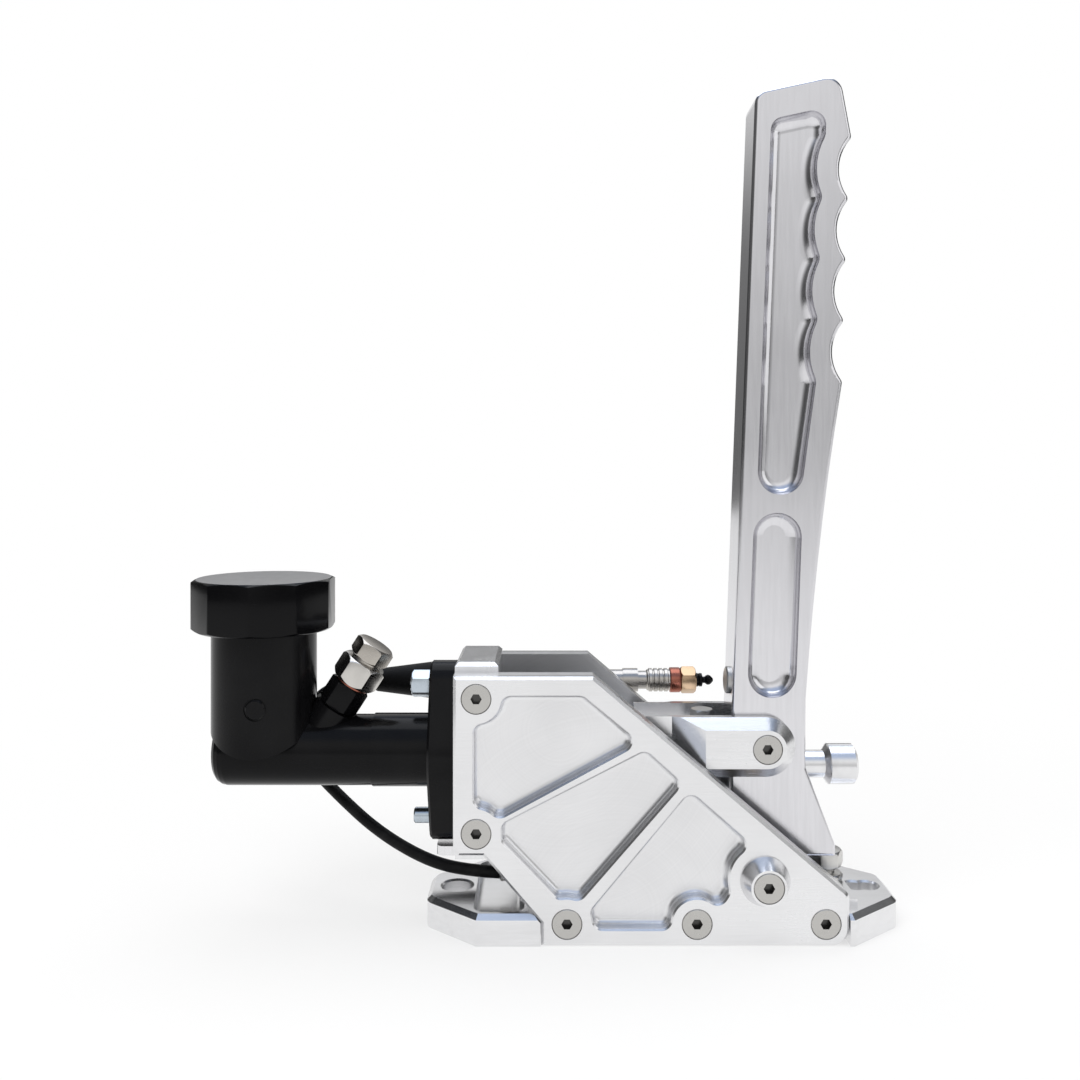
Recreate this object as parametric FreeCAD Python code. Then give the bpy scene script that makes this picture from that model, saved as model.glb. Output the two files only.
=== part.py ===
"""Hydraulic handbrake with a vertical lever and its master cylinder.

Millimetres. X runs from the master cylinder to the lever, Y is across the frame and Z is up.
The origin is the centre of the base's underside, on the plane of symmetry.
"""
import FreeCAD, Part
import math
import os

V = FreeCAD.Vector
X_AXIS = V(1, 0, 0)
Y_AXIS = V(0, 1, 0)
Z_AXIS = V(0, 0, 1)

# Clearances and small finishes
RUNNING_FIT = 0.05
JOINT_GAP = 0.2
SIDE_PLAY = 0.4
SCREW_CLEARANCE = 0.15
EDGE_CHAMFER = 1.2

# Frame and base
PLATE_GAP = 42.0
PLATE_THICKNESS = 10.0
PLATE_FRONT_X = -86.8
PLATE_REAR_X = 74.0
PLATE_TOP_Z = 109.0
PLATE_TOP_LENGTH = 57.0
PLATE_REAR_HEIGHT = 20.7
NOTCH_HEIGHT = 36.5
NOTCH_LENGTH = 12.2
TOE_X = -51.1
TOE_HEIGHT = 9.3
POCKET_DEPTH = 6.0
POCKET_CORNER = 4.0
POCKET_FLOOR_FILLET = 2.5
POCKET_RIM = 0.7
SCREW_LAND = 10.7
PIVOT_LAND = 15.0
BASE_FRONT_X = -99.5
BASE_REAR_X = 99.5
BASE_THICKNESS = 15.0
FOOT_THICKNESS = 12.5
TONGUE_FRONT_X = -60.0
TONGUE_REAR_X = 80.0
BASE_CHAMFER = 2.0
FOOT_TAPER_FRONT_X = -77.5
FOOT_TAPER_REAR_X = 76.0
FOOT_TIP_HALF_WIDTH = 12.5
FOOT_TIP_RADIUS = 7.0
FRONT_HOLE_X = -87.5
FRONT_HOLE_Y = 0.0
FRONT_HOLE_RADIUS = 6.5
REAR_SLOT_X = 87.5
REAR_SLOT_Y = 0.0
REAR_SLOT_RADIUS = 4.75
REAR_SLOT_PITCH = 5.2
SCOOP_DEPTH = 4.0
SCOOP_LENGTH = 21.0
SCOOP_START_X = -79.0
SCOOP_HALF_WIDTH = 27.5
PIVOT_RELIEF_DEPTH = 3.0

# Countersunk frame screws: places on each plate, and the screw itself
FRAME_SCREW_PLACES = [(-77.4, 100.0), (-77.4, 45.4), (-40.6, 8.9), (12.1, 8.9), (64.3, 8.9)]
SCREW_HEAD_RADIUS = 6.1
SCREW_SHANK_RADIUS = 3.0
SCREW_LENGTH = 22.0
SCREW_SOCKET_FLATS = 4.0
SCREW_SOCKET_DEPTH = 2.6

# Front block between the plates
BLOCK_THICKNESS = 18.0
BLOCK_TOP_Z = 113.0
BLOCK_BOTTOM_Z = 31.5
LIP_LENGTH = 9.2
LIP_HALF_WIDTH = 6.0
LIP_THICKNESS = 4.0

# Master cylinder
CYLINDER_Z = 71.5
CYLINDER_RADIUS = 15.0
CYLINDER_REAR_RADIUS = 15.5
CYLINDER_END_X = -191.6
CYLINDER_STEP_X = -123.3
CYLINDER_END_ROUND = 6.0
BORE_RADIUS = 9.525
BORE_END_WALL = 6.0
FLANGE_THICKNESS = 12.0
FLANGE_MIDDLE_RADIUS = 21.0
FLANGE_EAR_RADIUS = 10.0
STUD_PITCH = 57.15
STUD_RADIUS = 3.4
NUT_FLATS = 10.2
NUT_LENGTH = 8.2
SNOUT_RADIUS = 13.8
SNOUT_REACH = 3.0
RESERVOIR_X = -171.3
RESERVOIR_RADIUS = 22.3
RESERVOIR_WALL = 3.0
RESERVOIR_FLOOR_Z = 89.0
RESERVOIR_TOP_Z = 134.0
BOWL_ROUND_RADIUS = 32.0
BOWL_BOTTOM_Z = 72.8
PORT_RADIUS = 1.5
PLUG_Z = 93.6
PLUG_HEAD_RADIUS = 4.3
PLUG_SHANK_RADIUS = 2.5
PLUG_HEAD_HEIGHT = 1.1

# Reservoir cap
CAP_SIDES = 10
CAP_TURN = 0.583
CAP_CORNER_RADIUS = 30.5
CAP_BOTTOM_Z = 124.0
CAP_TOP_Z = 146.0
CAP_CHAMFER = 0.8
CAP_PLAY = 0.35
DIAPHRAGM_THICKNESS = 1.4
DIAPHRAGM_DEPTH = 17.0

# Angled outlet, measured along its own axis from the adaptor's middle
OUTLET_X = -137.4
OUTLET_Z = 94.0
OUTLET_TILT = 33.0
OUTLET_BOSS_RADIUS = 9.5
OUTLET_PORT_RADIUS = 2.2
ADAPTOR_FLATS = 15.5
OUTLET_NUT_FLATS = 18.0
OUTLET_PLUG_FLATS = 15.6
ADAPTOR_START = -4.6
ADAPTOR_END = 7.2
OUTLET_NUT_END = 18.6
OUTLET_COLLAR_END = 20.0
OUTLET_PLUG_END = 27.4
OUTLET_WASHER = 0.9
OUTLET_THREAD_RADIUS = 5.0

# Piston, seals and spring inside the bore
PISTON_FRONT_X = -122.0
PISTON_REAR_X = -71.0
PISTON_NOSE_RADIUS = 5.5
PISTON_NOSE_LENGTH = 14.0
STEM_RADIUS = 1.5
SEAL_WIDTH = 3.0
SEAL_DEPTH = 2.4
SPRING_WIRE_RADIUS = 0.9
SPRING_TURNS = 6
SPRING_WIRE_SIDES = 8
SPRING_MEAN_RADIUS = 7.7
VALVE_SEAT_LENGTH = 5.0
RING_THICKNESS = 1.2
BOOT_WALL = 1.3
BOOT_PLEATS = 4
BOOT_STEP = 4.4

# Lever: its own axes are U across and W along, from the pivot
PIVOT_X = 39.6
PIVOT_Z = 26.5
LEVER_LEAN = 2.17
LEVER_THICKNESS = 22.0
LEVER_END_RADIUS = 12.2
LEVER_FRONT_TOP_W = 326.4
LEVER_REAR_TOP_U = 23.5
LEVER_TOP_RISE = 9.2
LEVER_EDGE_FILLET = 1.7
GRIP_TOP_MARGIN = 17.7
GRIP_PITCH = 25.9
GRIP_COUNT = 4
GRIP_CUSP_U = 29.5
GRIP_DEPTH = 4.8
GRIP_CUSP_ROUND = 2.6
LEVER_WAIST = (19.1, 69.3)
LEVER_MID_W = 146.0
LEVER_BACK_BOW = 1.5739
HEEL_TOP = (20.0, 41.0)
HEEL_TIP = (33.9, 8.2)
HEEL_ROUND = 2.5
LEVER_POCKET_DEPTH = 6.2
LEVER_POCKET_FLAT_WALL = 0.6
UPPER_POCKET_LEFT_U = -5.2
UPPER_POCKET_RIGHT_U = 18.2
UPPER_POCKET_WAVE = 3.2
UPPER_POCKET_TOP_MARGIN = 5.4
UPPER_POCKET_BOTTOM = (4.6, 156.0)
LOWER_POCKET_U = 4.2
LOWER_POCKET_HALF_WIDTH = 10.3
LOWER_POCKET_SPAN = (69.8, 148.3)
DISC_W = 74.7
DISC_RADIUS = 5.8
DISC_THICKNESS = 1.6

# Pivot of the lever
PIVOT_SHAFT_RADIUS = 6.0
PIVOT_BUSH_RADIUS = 8.0
PIVOT_BUSH_FLANGE_RADIUS = 10.0
PIVOT_BUSH_FLANGE = 1.5
PIVOT_SPACER_RADIUS = 9.0
CONE_BASE_RADIUS = 10.1
CONE_TOP_RADIUS = 7.2
CONE_HEIGHT = 8.0

# Fork, its pin and the pushrod
FORK_PIN_X = 43.2
FORK_PIN_Z = 76.4
FORK_PIN_RADIUS = 4.0
FORK_BUSH_RADIUS = 5.5
FORK_EAR_RADIUS = 12.5
FORK_WIDTH = 39.0
FORK_CHAMFER = 4.5
FORK_THROAT_X = 21.5
FORK_FRONT_X = -10.0
FORK_NECK_X = 4.0
FORK_TAPER_X = 17.4
FORK_FRONT_WIDTH = 27.0
FORK_BRIDGE_TOP_Z = 84.5
FORK_BOLT_X = 18.6
FORK_BOLT_FLATS = 9.0
FORK_BOLT_HEAD = 4.6
BALL_X = -76.0
BALL_RADIUS = 5.0
BALL_PLAY = 1.0
PUSHROD_RADIUS = 4.0
LOCKNUT_FLATS = 13.0
LOCKNUT_LENGTH = 6.0

# Adjuster behind the lever
ADJUSTER_Z = 65.2
ADJUSTER_SHANK_RADIUS = 3.0
ADJUSTER_NECK_RADIUS = 5.8
ADJUSTER_KNOB_RADIUS = 8.6
ADJUSTER_NECK_X = 62.2
ADJUSTER_KNOB_X = 72.5
ADJUSTER_END_X = 84.7
ADJUSTER_TIP_X = 23.5

# Stop bolt under the heel
STOP_X = 72.3
STOP_HEAD_FLATS = 13.0
STOP_HEAD_Z = 21.6
STOP_TOP_Z = 28.5
STOP_SHANK_RADIUS = 3.9

# Line along the far side
LINE_Y = 37.0
LINE_Z = 94.0
LINE_BOOT_X = (-128.9, -96.0)
LINE_BOOT_RADII = (5.2, 8.5)
LINE_TUBE_RADIUS = 4.8
LINE_UNION_X = (-2.1, 8.8)
LINE_RING_END_X = 13.9
LINE_NUT_END_X = 21.0
LINE_TIP_END_X = 24.7
LINE_BALL_X = 27.2
CLIP_PLACES_X = [-62.0, -36.0]
CLIP_WIDTH = 9.0
CLIP_RADIUS = 7.3
CLIP_SCREW_Z = 81.5
CLIP_LEG_THICKNESS = 5.0
CLIP_LEG_DROP = 4.5
CLIP_WEB_RISE = 3.5
CLIP_SCREW_RADIUS = 2.0

# Hose from the boot to the foot of the frame
HOSE_RADIUS = 2.6
HOSE_POINTS = [
    (-128.9, 37, 94),
    (-149, 37, 93),
    (-162, 34, 78.5),
    (-161, 28, 60),
    (-144, 20, 46),
    (-124, 11, 32),
    (-102, 4.5, 21.8),
    (-84, 1, 18.4),
    (-69, 0, 18),
]
HOSE_ARC_SHARE = 0.45
FERRULE_RADIUS = 3.6
FERRULE_LENGTH = 12.0
UNION_LENGTH = 14.0
UNION_HALF_WIDTH = 8.0
UNION_TOP_Z = 25.0

PLATE_INNER_Y = PLATE_GAP / 2
PLATE_OUTER_Y = PLATE_INNER_Y + PLATE_THICKNESS
BLOCK_REAR_X = PLATE_FRONT_X + BLOCK_THICKNESS
FLANGE_FRONT_X = PLATE_FRONT_X - FLANGE_THICKNESS
SNOUT_END_X = BLOCK_REAR_X + SNOUT_REACH
BORE_END_X = CYLINDER_END_X + BORE_END_WALL
LEVER_HALF = LEVER_THICKNESS / 2
HEEL_BOTTOM_Z = STOP_TOP_Z + JOINT_GAP
LEVER_REAR_TOP = (LEVER_REAR_TOP_U, LEVER_FRONT_TOP_W + LEVER_TOP_RISE)
GRIP_FIRST_CUSP_W = LEVER_FRONT_TOP_W - GRIP_TOP_MARGIN
UPPER_POCKET_TOP_W = LEVER_FRONT_TOP_W - UPPER_POCKET_TOP_MARGIN
LEVER_POCKET_FILLET = LEVER_POCKET_DEPTH - LEVER_POCKET_FLAT_WALL
RETAINER_X = PISTON_REAR_X + RING_THICKNESS


def box(x_span, y_span, z_span):
    """A block from three (low, high) spans."""
    size = [high - low for low, high in (x_span, y_span, z_span)]
    return Part.makeBox(*size, V(x_span[0], y_span[0], z_span[0]))


def rod(radius, start, end):
    """A round bar between two points."""
    start, end = V(*start), V(*end)
    return Part.makeCylinder(radius, (end - start).Length, start, end - start)


def tube(outer, inner, start, end):
    """A round tube between two points."""
    return rod(outer, start, end).cut(rod(inner, start, end))


def both_sides(shape):
    """A shape and its mirror image across the plane of symmetry."""
    return shape.fuse(mirrored(shape))


def mirrored(shape):
    """The mirror image of a shape across the plane of symmetry."""
    return shape.mirror(V(0, 0, 0), Y_AXIS)


def aimed(shape, origin, direction):
    """A shape made along +Z from the origin, turned along a direction and moved to its place."""
    moved = shape.copy()
    moved.Placement = FreeCAD.Placement(V(*origin), FreeCAD.Rotation(Z_AXIS, V(*direction)))
    return moved


def turned(profile, origin, direction):
    """A turned piece: (station, radius) pairs along its axis, closed back to the axis."""
    points = [V(radius, 0, station) for station, radius in profile]
    points = [V(0, 0, profile[0][0])] + points + [V(0, 0, profile[-1][0])]
    kept = [point for i, point in enumerate(points) if i == 0 or (point - points[i - 1]).Length > 1e-6]
    face = Part.Face(Part.makePolygon(kept + [kept[0]]))
    return aimed(face.revolve(V(0, 0, 0), Z_AXIS, 360), origin, direction)


def side_face(points, y):
    """A flat face from (x, z) points at one y."""
    corners = [V(x, y, z) for x, z in points]
    return Part.Face(Part.makePolygon(corners + [corners[0]]))


def side_prism(points, y_low, y_high):
    """A side outline given thickness across the frame."""
    return side_face(points, y_low).extrude(V(0, y_high - y_low, 0))


def plan_prism(points, z_low, z_high):
    """A plan outline given height."""
    corners = [V(x, y, z_low) for x, y in points]
    return Part.Face(Part.makePolygon(corners + [corners[0]])).extrude(V(0, 0, z_high - z_low))


def hexagon_bar(flats, length, chamfer=0.0):
    """A hexagon bar along +Z, its corners turned off at the far end."""
    corner = flats / math.sqrt(3)
    points = [V(corner * math.cos(math.radians(60 * i)), corner * math.sin(math.radians(60 * i)), 0)
              for i in range(6)]
    bar = Part.Face(Part.makePolygon(points + [points[0]])).extrude(V(0, 0, length))
    if chamfer:
        profile = [(0, corner), (length - chamfer, corner), (length, flats / 2)]
        bar = bar.common(turned(profile, (0, 0, 0), (0, 0, 1)))
    return bar


def edges_along(shape, direction, near=None, reach=0.0):
    """Straight edges along a direction, or only those that pass near a point."""
    found = []
    for edge in shape.Edges:
        if not isinstance(edge.Curve, (Part.Line, Part.LineSegment)):
            continue
        ends = edge.Vertexes[0].Point, edge.Vertexes[-1].Point
        run = ends[1] - ends[0]
        if run.Length < 1e-6 or abs(abs(run.normalize().dot(direction)) - 1) > 1e-6:
            continue
        middle = (ends[0] + ends[1]) * 0.5
        offset = middle - near if near else V(0, 0, 0)
        offset = offset - direction * offset.dot(direction)
        if near is None or offset.Length <= reach:
            found.append(edge)
    return found


def edges_in_plane(shape, direction, level):
    """Edges that lie wholly in the plane at a level along a direction."""
    found = []
    for edge in shape.Edges:
        samples = edge.discretize(5)
        if all(abs(point.dot(direction) - level) < 1e-4 for point in samples):
            found.append(edge)
    return found


def countersunk_screw(length, head_radius, shank_radius, socket_flats, socket_depth):
    """A countersunk screw along +Z into the material, its head face at the origin."""
    profile = [(0, head_radius - 0.3), (0.3, head_radius),
               (0.3 + head_radius - shank_radius, shank_radius), (length, shank_radius)]
    return turned(profile, (0, 0, 0), (0, 0, 1)).cut(hexagon_bar(socket_flats, socket_depth))


def frame_screw():
    """One of the countersunk screws that hold a plate."""
    return countersunk_screw(SCREW_LENGTH, SCREW_HEAD_RADIUS, SCREW_SHANK_RADIUS,
                             SCREW_SOCKET_FLATS, SCREW_SOCKET_DEPTH)


def screw_seat(head_radius, shank_radius, length):
    """The countersink and hole that such a screw sits in."""
    head = head_radius + SCREW_CLEARANCE
    profile = [(-1, head), (0.3, head), (0.3 + head_radius - shank_radius, shank_radius + SCREW_CLEARANCE),
               (length + 1, shank_radius + SCREW_CLEARANCE)]
    return turned(profile, (0, 0, 0), (0, 0, 1))


# Side plates
def plate_outline():
    """The side plate's outline, seen from the near side."""
    slope_run = PLATE_REAR_X - (PLATE_FRONT_X + PLATE_TOP_LENGTH)
    return [(PLATE_FRONT_X, PLATE_TOP_Z), (PLATE_REAR_X - slope_run, PLATE_TOP_Z),
            (PLATE_REAR_X, PLATE_REAR_HEIGHT), (PLATE_REAR_X, 0), (TOE_X, 0), (TOE_X, TOE_HEIGHT),
            (PLATE_FRONT_X + NOTCH_LENGTH, NOTCH_HEIGHT), (PLATE_FRONT_X + 2.2, NOTCH_HEIGHT),
            (PLATE_FRONT_X, NOTCH_HEIGHT + 2.2)]


def rounded_plate(y_low, y_high):
    """The plate's outline with its rounded rear corners, between two levels of y."""
    plate = side_prism(plate_outline(), y_low, y_high)
    for x, z, radius in ((PLATE_REAR_X, PLATE_REAR_HEIGHT, 4.0), (PLATE_REAR_X, 0.0, 7.0)):
        plate = plate.makeFillet(radius, edges_along(plate, Y_AXIS, V(x, 0, z), 0.5))
    return plate


def pocket_outlines():
    """Outlines of the three pockets: upper, middle and lower."""
    upper = [(-78.3, 100.8), (-34.2, 100.8), (-12.3, 82.8), (-15.0, 80.4), (-78.3, 46.2)]
    middle = [(-71.2, 47.0), (-8.8, 78.9), (5.8, 65.7), (-39.4, 14.0)]
    lower = [(9.3, 62.3), (36.0, 39.0), (23.5, 18.8), (12.1, 6.9), (-36.9, 6.9)]
    return upper, middle, lower


def plate_lands():
    """Round lands that stay between the pockets: round each screw and round the pivot."""
    lands = [(x, z, SCREW_LAND) for x, z in FRAME_SCREW_PLACES]
    return lands + [(PIVOT_X, PIVOT_Z, PIVOT_LAND)]


def rounded_face(face, radius):
    """A flat face with its outward corners rounded."""
    return face.makeOffset2D(-radius).makeOffset2D(radius)


def pocket_cutter(outline, face_y):
    """The material milled out of one pocket, from the plate's outer face at face_y."""
    floor_y = face_y + POCKET_DEPTH
    sheet = side_face(outline, face_y - 1)
    for x, z, radius in plate_lands():
        land = Part.makeCircle(radius, V(x, face_y - 1, z), Y_AXIS)
        sheet = sheet.cut(Part.Face(Part.Wire(land)))
    sheet = rounded_face(max(sheet.Faces, key=lambda face: face.Area), POCKET_CORNER)
    cutter = sheet.extrude(V(0, POCKET_DEPTH + 1, 0))
    return cutter.makeFillet(POCKET_FLOOR_FILLET, edges_in_plane(cutter, Y_AXIS, floor_y))


def side_plate():
    """The near side plate."""
    outer = -PLATE_OUTER_Y
    plate = rounded_plate(outer, -PLATE_INNER_Y)
    plate = plate.makeChamfer(EDGE_CHAMFER, edges_in_plane(plate, Y_AXIS, outer))
    outline_edges = len(edges_in_plane(plate, Y_AXIS, outer))
    for outline in pocket_outlines():
        plate = plate.cut(pocket_cutter(outline, outer))
    rims = edges_in_plane(plate, Y_AXIS, outer)
    inner_rims = [edge for edge in rims if not on_outline(edge)]
    if outline_edges and inner_rims:
        plate = plate.makeChamfer(POCKET_RIM, inner_rims)
    for x, z in FRAME_SCREW_PLACES:
        seat = screw_seat(SCREW_HEAD_RADIUS, SCREW_SHANK_RADIUS, SCREW_LENGTH)
        plate = plate.cut(aimed(seat, (x, outer, z), (0, 1, 0)))
    bore = PIVOT_SHAFT_RADIUS + RUNNING_FIT
    return plate.cut(rod(bore, (PIVOT_X, outer - 1, PIVOT_Z), (PIVOT_X, -PLATE_INNER_Y + 1, PIVOT_Z)))


def on_outline(edge):
    """Whether an edge of the outer face runs along the plate's own outline."""
    middle = edge.discretize(3)[1]
    outline = side_face(plate_outline(), middle.y)
    near = Part.Vertex(middle)
    return outline.OuterWire.distToShape(near)[0] < EDGE_CHAMFER + 3.2


# Base plate
def base_plate():
    """The base: a tongue between the plates and a tapered foot at each end."""
    half = PLATE_OUTER_Y
    tip = FOOT_TIP_HALF_WIDTH
    outline = [(BASE_FRONT_X, -tip), (FOOT_TAPER_FRONT_X, -half), (FOOT_TAPER_REAR_X, -half),
               (BASE_REAR_X, -tip), (BASE_REAR_X, tip), (FOOT_TAPER_REAR_X, half),
               (FOOT_TAPER_FRONT_X, half), (BASE_FRONT_X, tip)]
    base = plan_prism(outline, 0, FOOT_THICKNESS)
    for x in (BASE_FRONT_X, BASE_REAR_X):
        for y in (-tip, tip):
            base = base.makeFillet(FOOT_TIP_RADIUS, edges_along(base, Z_AXIS, V(x, y, 0), 0.5))
    base = base.makeChamfer(BASE_CHAMFER, edges_in_plane(base, Z_AXIS, FOOT_THICKNESS))
    base = base.cut(front_scoop())
    tongue = box((TONGUE_FRONT_X, TONGUE_REAR_X), (-PLATE_INNER_Y, PLATE_INNER_Y), (0, BASE_THICKNESS))
    base = base.fuse(tongue).removeSplitter()
    slot = Part.Face(side_face(plate_outline(), 0).OuterWire).makeOffset2D(JOINT_GAP)
    for low, high in ((-half - 1, -PLATE_INNER_Y), (PLATE_INNER_Y, half + 1)):
        cutter = slot.copy()
        cutter.translate(V(0, low, 0))
        base = base.cut(cutter.extrude(V(0, high - low, 0)))
    x, y, z = HOSE_POINTS[-1]
    end = x + FERRULE_LENGTH + JOINT_GAP
    base = base.cut(rod(FERRULE_RADIUS + JOINT_GAP, (x, y, z), (end, y, z)))
    base = base.cut(foot_hole(FRONT_HOLE_X, FRONT_HOLE_Y, FRONT_HOLE_RADIUS))
    for side in (-1, 1):
        lobe_x = REAR_SLOT_X + side * REAR_SLOT_PITCH / 2
        base = base.cut(foot_hole(lobe_x, REAR_SLOT_Y, REAR_SLOT_RADIUS))
    relief = 2 * LEVER_END_RADIUS
    base = base.cut(box((PIVOT_X - relief, PIVOT_X + relief), (-LEVER_HALF - 2, LEVER_HALF + 2),
                        (BASE_THICKNESS - PIVOT_RELIEF_DEPTH, BASE_THICKNESS + 1)))
    for x, z in FRAME_SCREW_PLACES:
        if z < BASE_THICKNESS:
            base = base.cut(both_sides(tapped_side_hole(x, z)))
    stop = STOP_SHANK_RADIUS + RUNNING_FIT
    return base.cut(rod(stop, (STOP_X, 0, 2), (STOP_X, 0, BASE_THICKNESS + 1)))


def foot_hole(x, y, radius):
    """A bolt hole through a foot, with a broken top edge."""
    profile = [(-1, radius), (FOOT_THICKNESS - 0.8, radius), (FOOT_THICKNESS + 0.2, radius + 1.0)]
    return turned(profile, (x, y, 0), (0, 0, 1))


def front_scoop():
    """The scooped pocket across the top of the front foot."""
    floor = FOOT_THICKNESS - SCOOP_DEPTH
    scoop = box((SCOOP_START_X, SCOOP_START_X + SCOOP_LENGTH), (-SCOOP_HALF_WIDTH, SCOOP_HALF_WIDTH),
                (floor, BASE_THICKNESS + 5))
    scoop = scoop.makeFillet(5.0, edges_along(scoop, Z_AXIS))
    return scoop.makeFillet(3.5, edges_in_plane(scoop, Z_AXIS, floor))


def tapped_side_hole(x, z):
    """The hole that takes a frame screw, from the near plate's inner face inwards."""
    reach = SCREW_LENGTH - PLATE_THICKNESS + 1
    return rod(SCREW_SHANK_RADIUS + RUNNING_FIT, (x, -PLATE_INNER_Y - 1, z), (x, -PLATE_INNER_Y + reach, z))


# Front block
def front_block():
    """The block that the master cylinder bolts to, with the lip under the flange."""
    block = box((PLATE_FRONT_X, BLOCK_REAR_X), (-PLATE_INNER_Y, PLATE_INNER_Y), (BLOCK_BOTTOM_Z, BLOCK_TOP_Z))
    block = block.makeChamfer(1.6, edges_in_plane(block, Z_AXIS, BLOCK_TOP_Z))
    lip = box((PLATE_FRONT_X - LIP_LENGTH, BLOCK_REAR_X), (-LIP_HALF_WIDTH, LIP_HALF_WIDTH),
              (BLOCK_BOTTOM_Z - LIP_THICKNESS, BLOCK_BOTTOM_Z - RUNNING_FIT))
    tip = V(PLATE_FRONT_X - LIP_LENGTH, 0, 0)
    lip = lip.makeFillet(3.0, [e for e in edges_along(lip, Z_AXIS) if e.Vertexes[0].X < tip.x + 1])
    root = box((PLATE_FRONT_X, BLOCK_REAR_X), (-LIP_HALF_WIDTH, LIP_HALF_WIDTH),
               (BLOCK_BOTTOM_Z - LIP_THICKNESS, BLOCK_BOTTOM_Z + 1))
    block = block.fuse([lip, root])
    block = block.cut(rod(SNOUT_RADIUS + RUNNING_FIT, (PLATE_FRONT_X - 1, 0, CYLINDER_Z),
                          (BLOCK_REAR_X + 1, 0, CYLINDER_Z)))
    for z in stud_heights():
        block = block.cut(rod(STUD_RADIUS + RUNNING_FIT, (PLATE_FRONT_X - 1, 0, z), (BLOCK_REAR_X - 3, 0, z)))
    for x, z in FRAME_SCREW_PLACES:
        if z > BLOCK_BOTTOM_Z:
            block = block.cut(both_sides(tapped_side_hole(x, z)))
    return block.removeSplitter()


def stud_heights():
    """Heights of the two flange studs."""
    return CYLINDER_Z - STUD_PITCH / 2, CYLINDER_Z + STUD_PITCH / 2


# Master cylinder
def outlet_direction():
    """Direction of the outlet's axis."""
    tilt = math.radians(OUTLET_TILT)
    return V(math.sin(tilt), 0, math.cos(tilt))


def outlet_point(station):
    """A point on the outlet's axis."""
    return V(OUTLET_X, 0, OUTLET_Z) + outlet_direction() * station


def outlet_boss_end():
    """Station of the boss's sealing face, under the adaptor."""
    return ADAPTOR_START


def flange():
    """The two-stud flange: a round middle and an ear at each stud, joined by tangent sides."""
    pitch = STUD_PITCH / 2
    lean = math.asin((FLANGE_MIDDLE_RADIUS - FLANGE_EAR_RADIUS) / pitch)
    shape = rod(FLANGE_MIDDLE_RADIUS, (FLANGE_FRONT_X, 0, CYLINDER_Z), (PLATE_FRONT_X, 0, CYLINDER_Z))
    for side in (-1, 1):
        centre_z = CYLINDER_Z + side * pitch
        ear = rod(FLANGE_EAR_RADIUS, (FLANGE_FRONT_X, 0, centre_z), (PLATE_FRONT_X, 0, centre_z))
        web = []
        for y_side in (-1, 1):
            wide = FLANGE_MIDDLE_RADIUS * math.cos(lean)
            narrow = FLANGE_EAR_RADIUS * math.cos(lean)
            web.append((y_side * wide, CYLINDER_Z + side * FLANGE_MIDDLE_RADIUS * math.sin(lean)))
            web.append((y_side * narrow, centre_z + side * FLANGE_EAR_RADIUS * math.sin(lean)))
        order = [web[0], web[1], web[3], web[2]]
        corners = [V(FLANGE_FRONT_X, y, z) for y, z in order]
        sheet = Part.Face(Part.makePolygon(corners + [corners[0]]))
        shape = shape.fuse([ear, sheet.extrude(V(FLANGE_THICKNESS, 0, 0))])
    shape = shape.removeSplitter()
    return shape.makeChamfer(1.0, edges_in_plane(shape, X_AXIS, FLANGE_FRONT_X))


def reservoir_outer():
    """The reservoir's wall, its lower end rounded down onto the cylinder."""
    centre_z = BOWL_BOTTOM_Z + BOWL_ROUND_RADIUS
    wall = rod(RESERVOIR_RADIUS, (RESERVOIR_X, 0, BOWL_BOTTOM_Z - 5), (RESERVOIR_X, 0, RESERVOIR_TOP_Z))
    reach = RESERVOIR_RADIUS + 2
    round_end = rod(BOWL_ROUND_RADIUS, (RESERVOIR_X, -reach, centre_z), (RESERVOIR_X, reach, centre_z))
    above = box((RESERVOIR_X - reach, RESERVOIR_X + reach), (-reach, reach), (centre_z, RESERVOIR_TOP_Z + 1))
    return wall.common(round_end.fuse(above))


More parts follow.
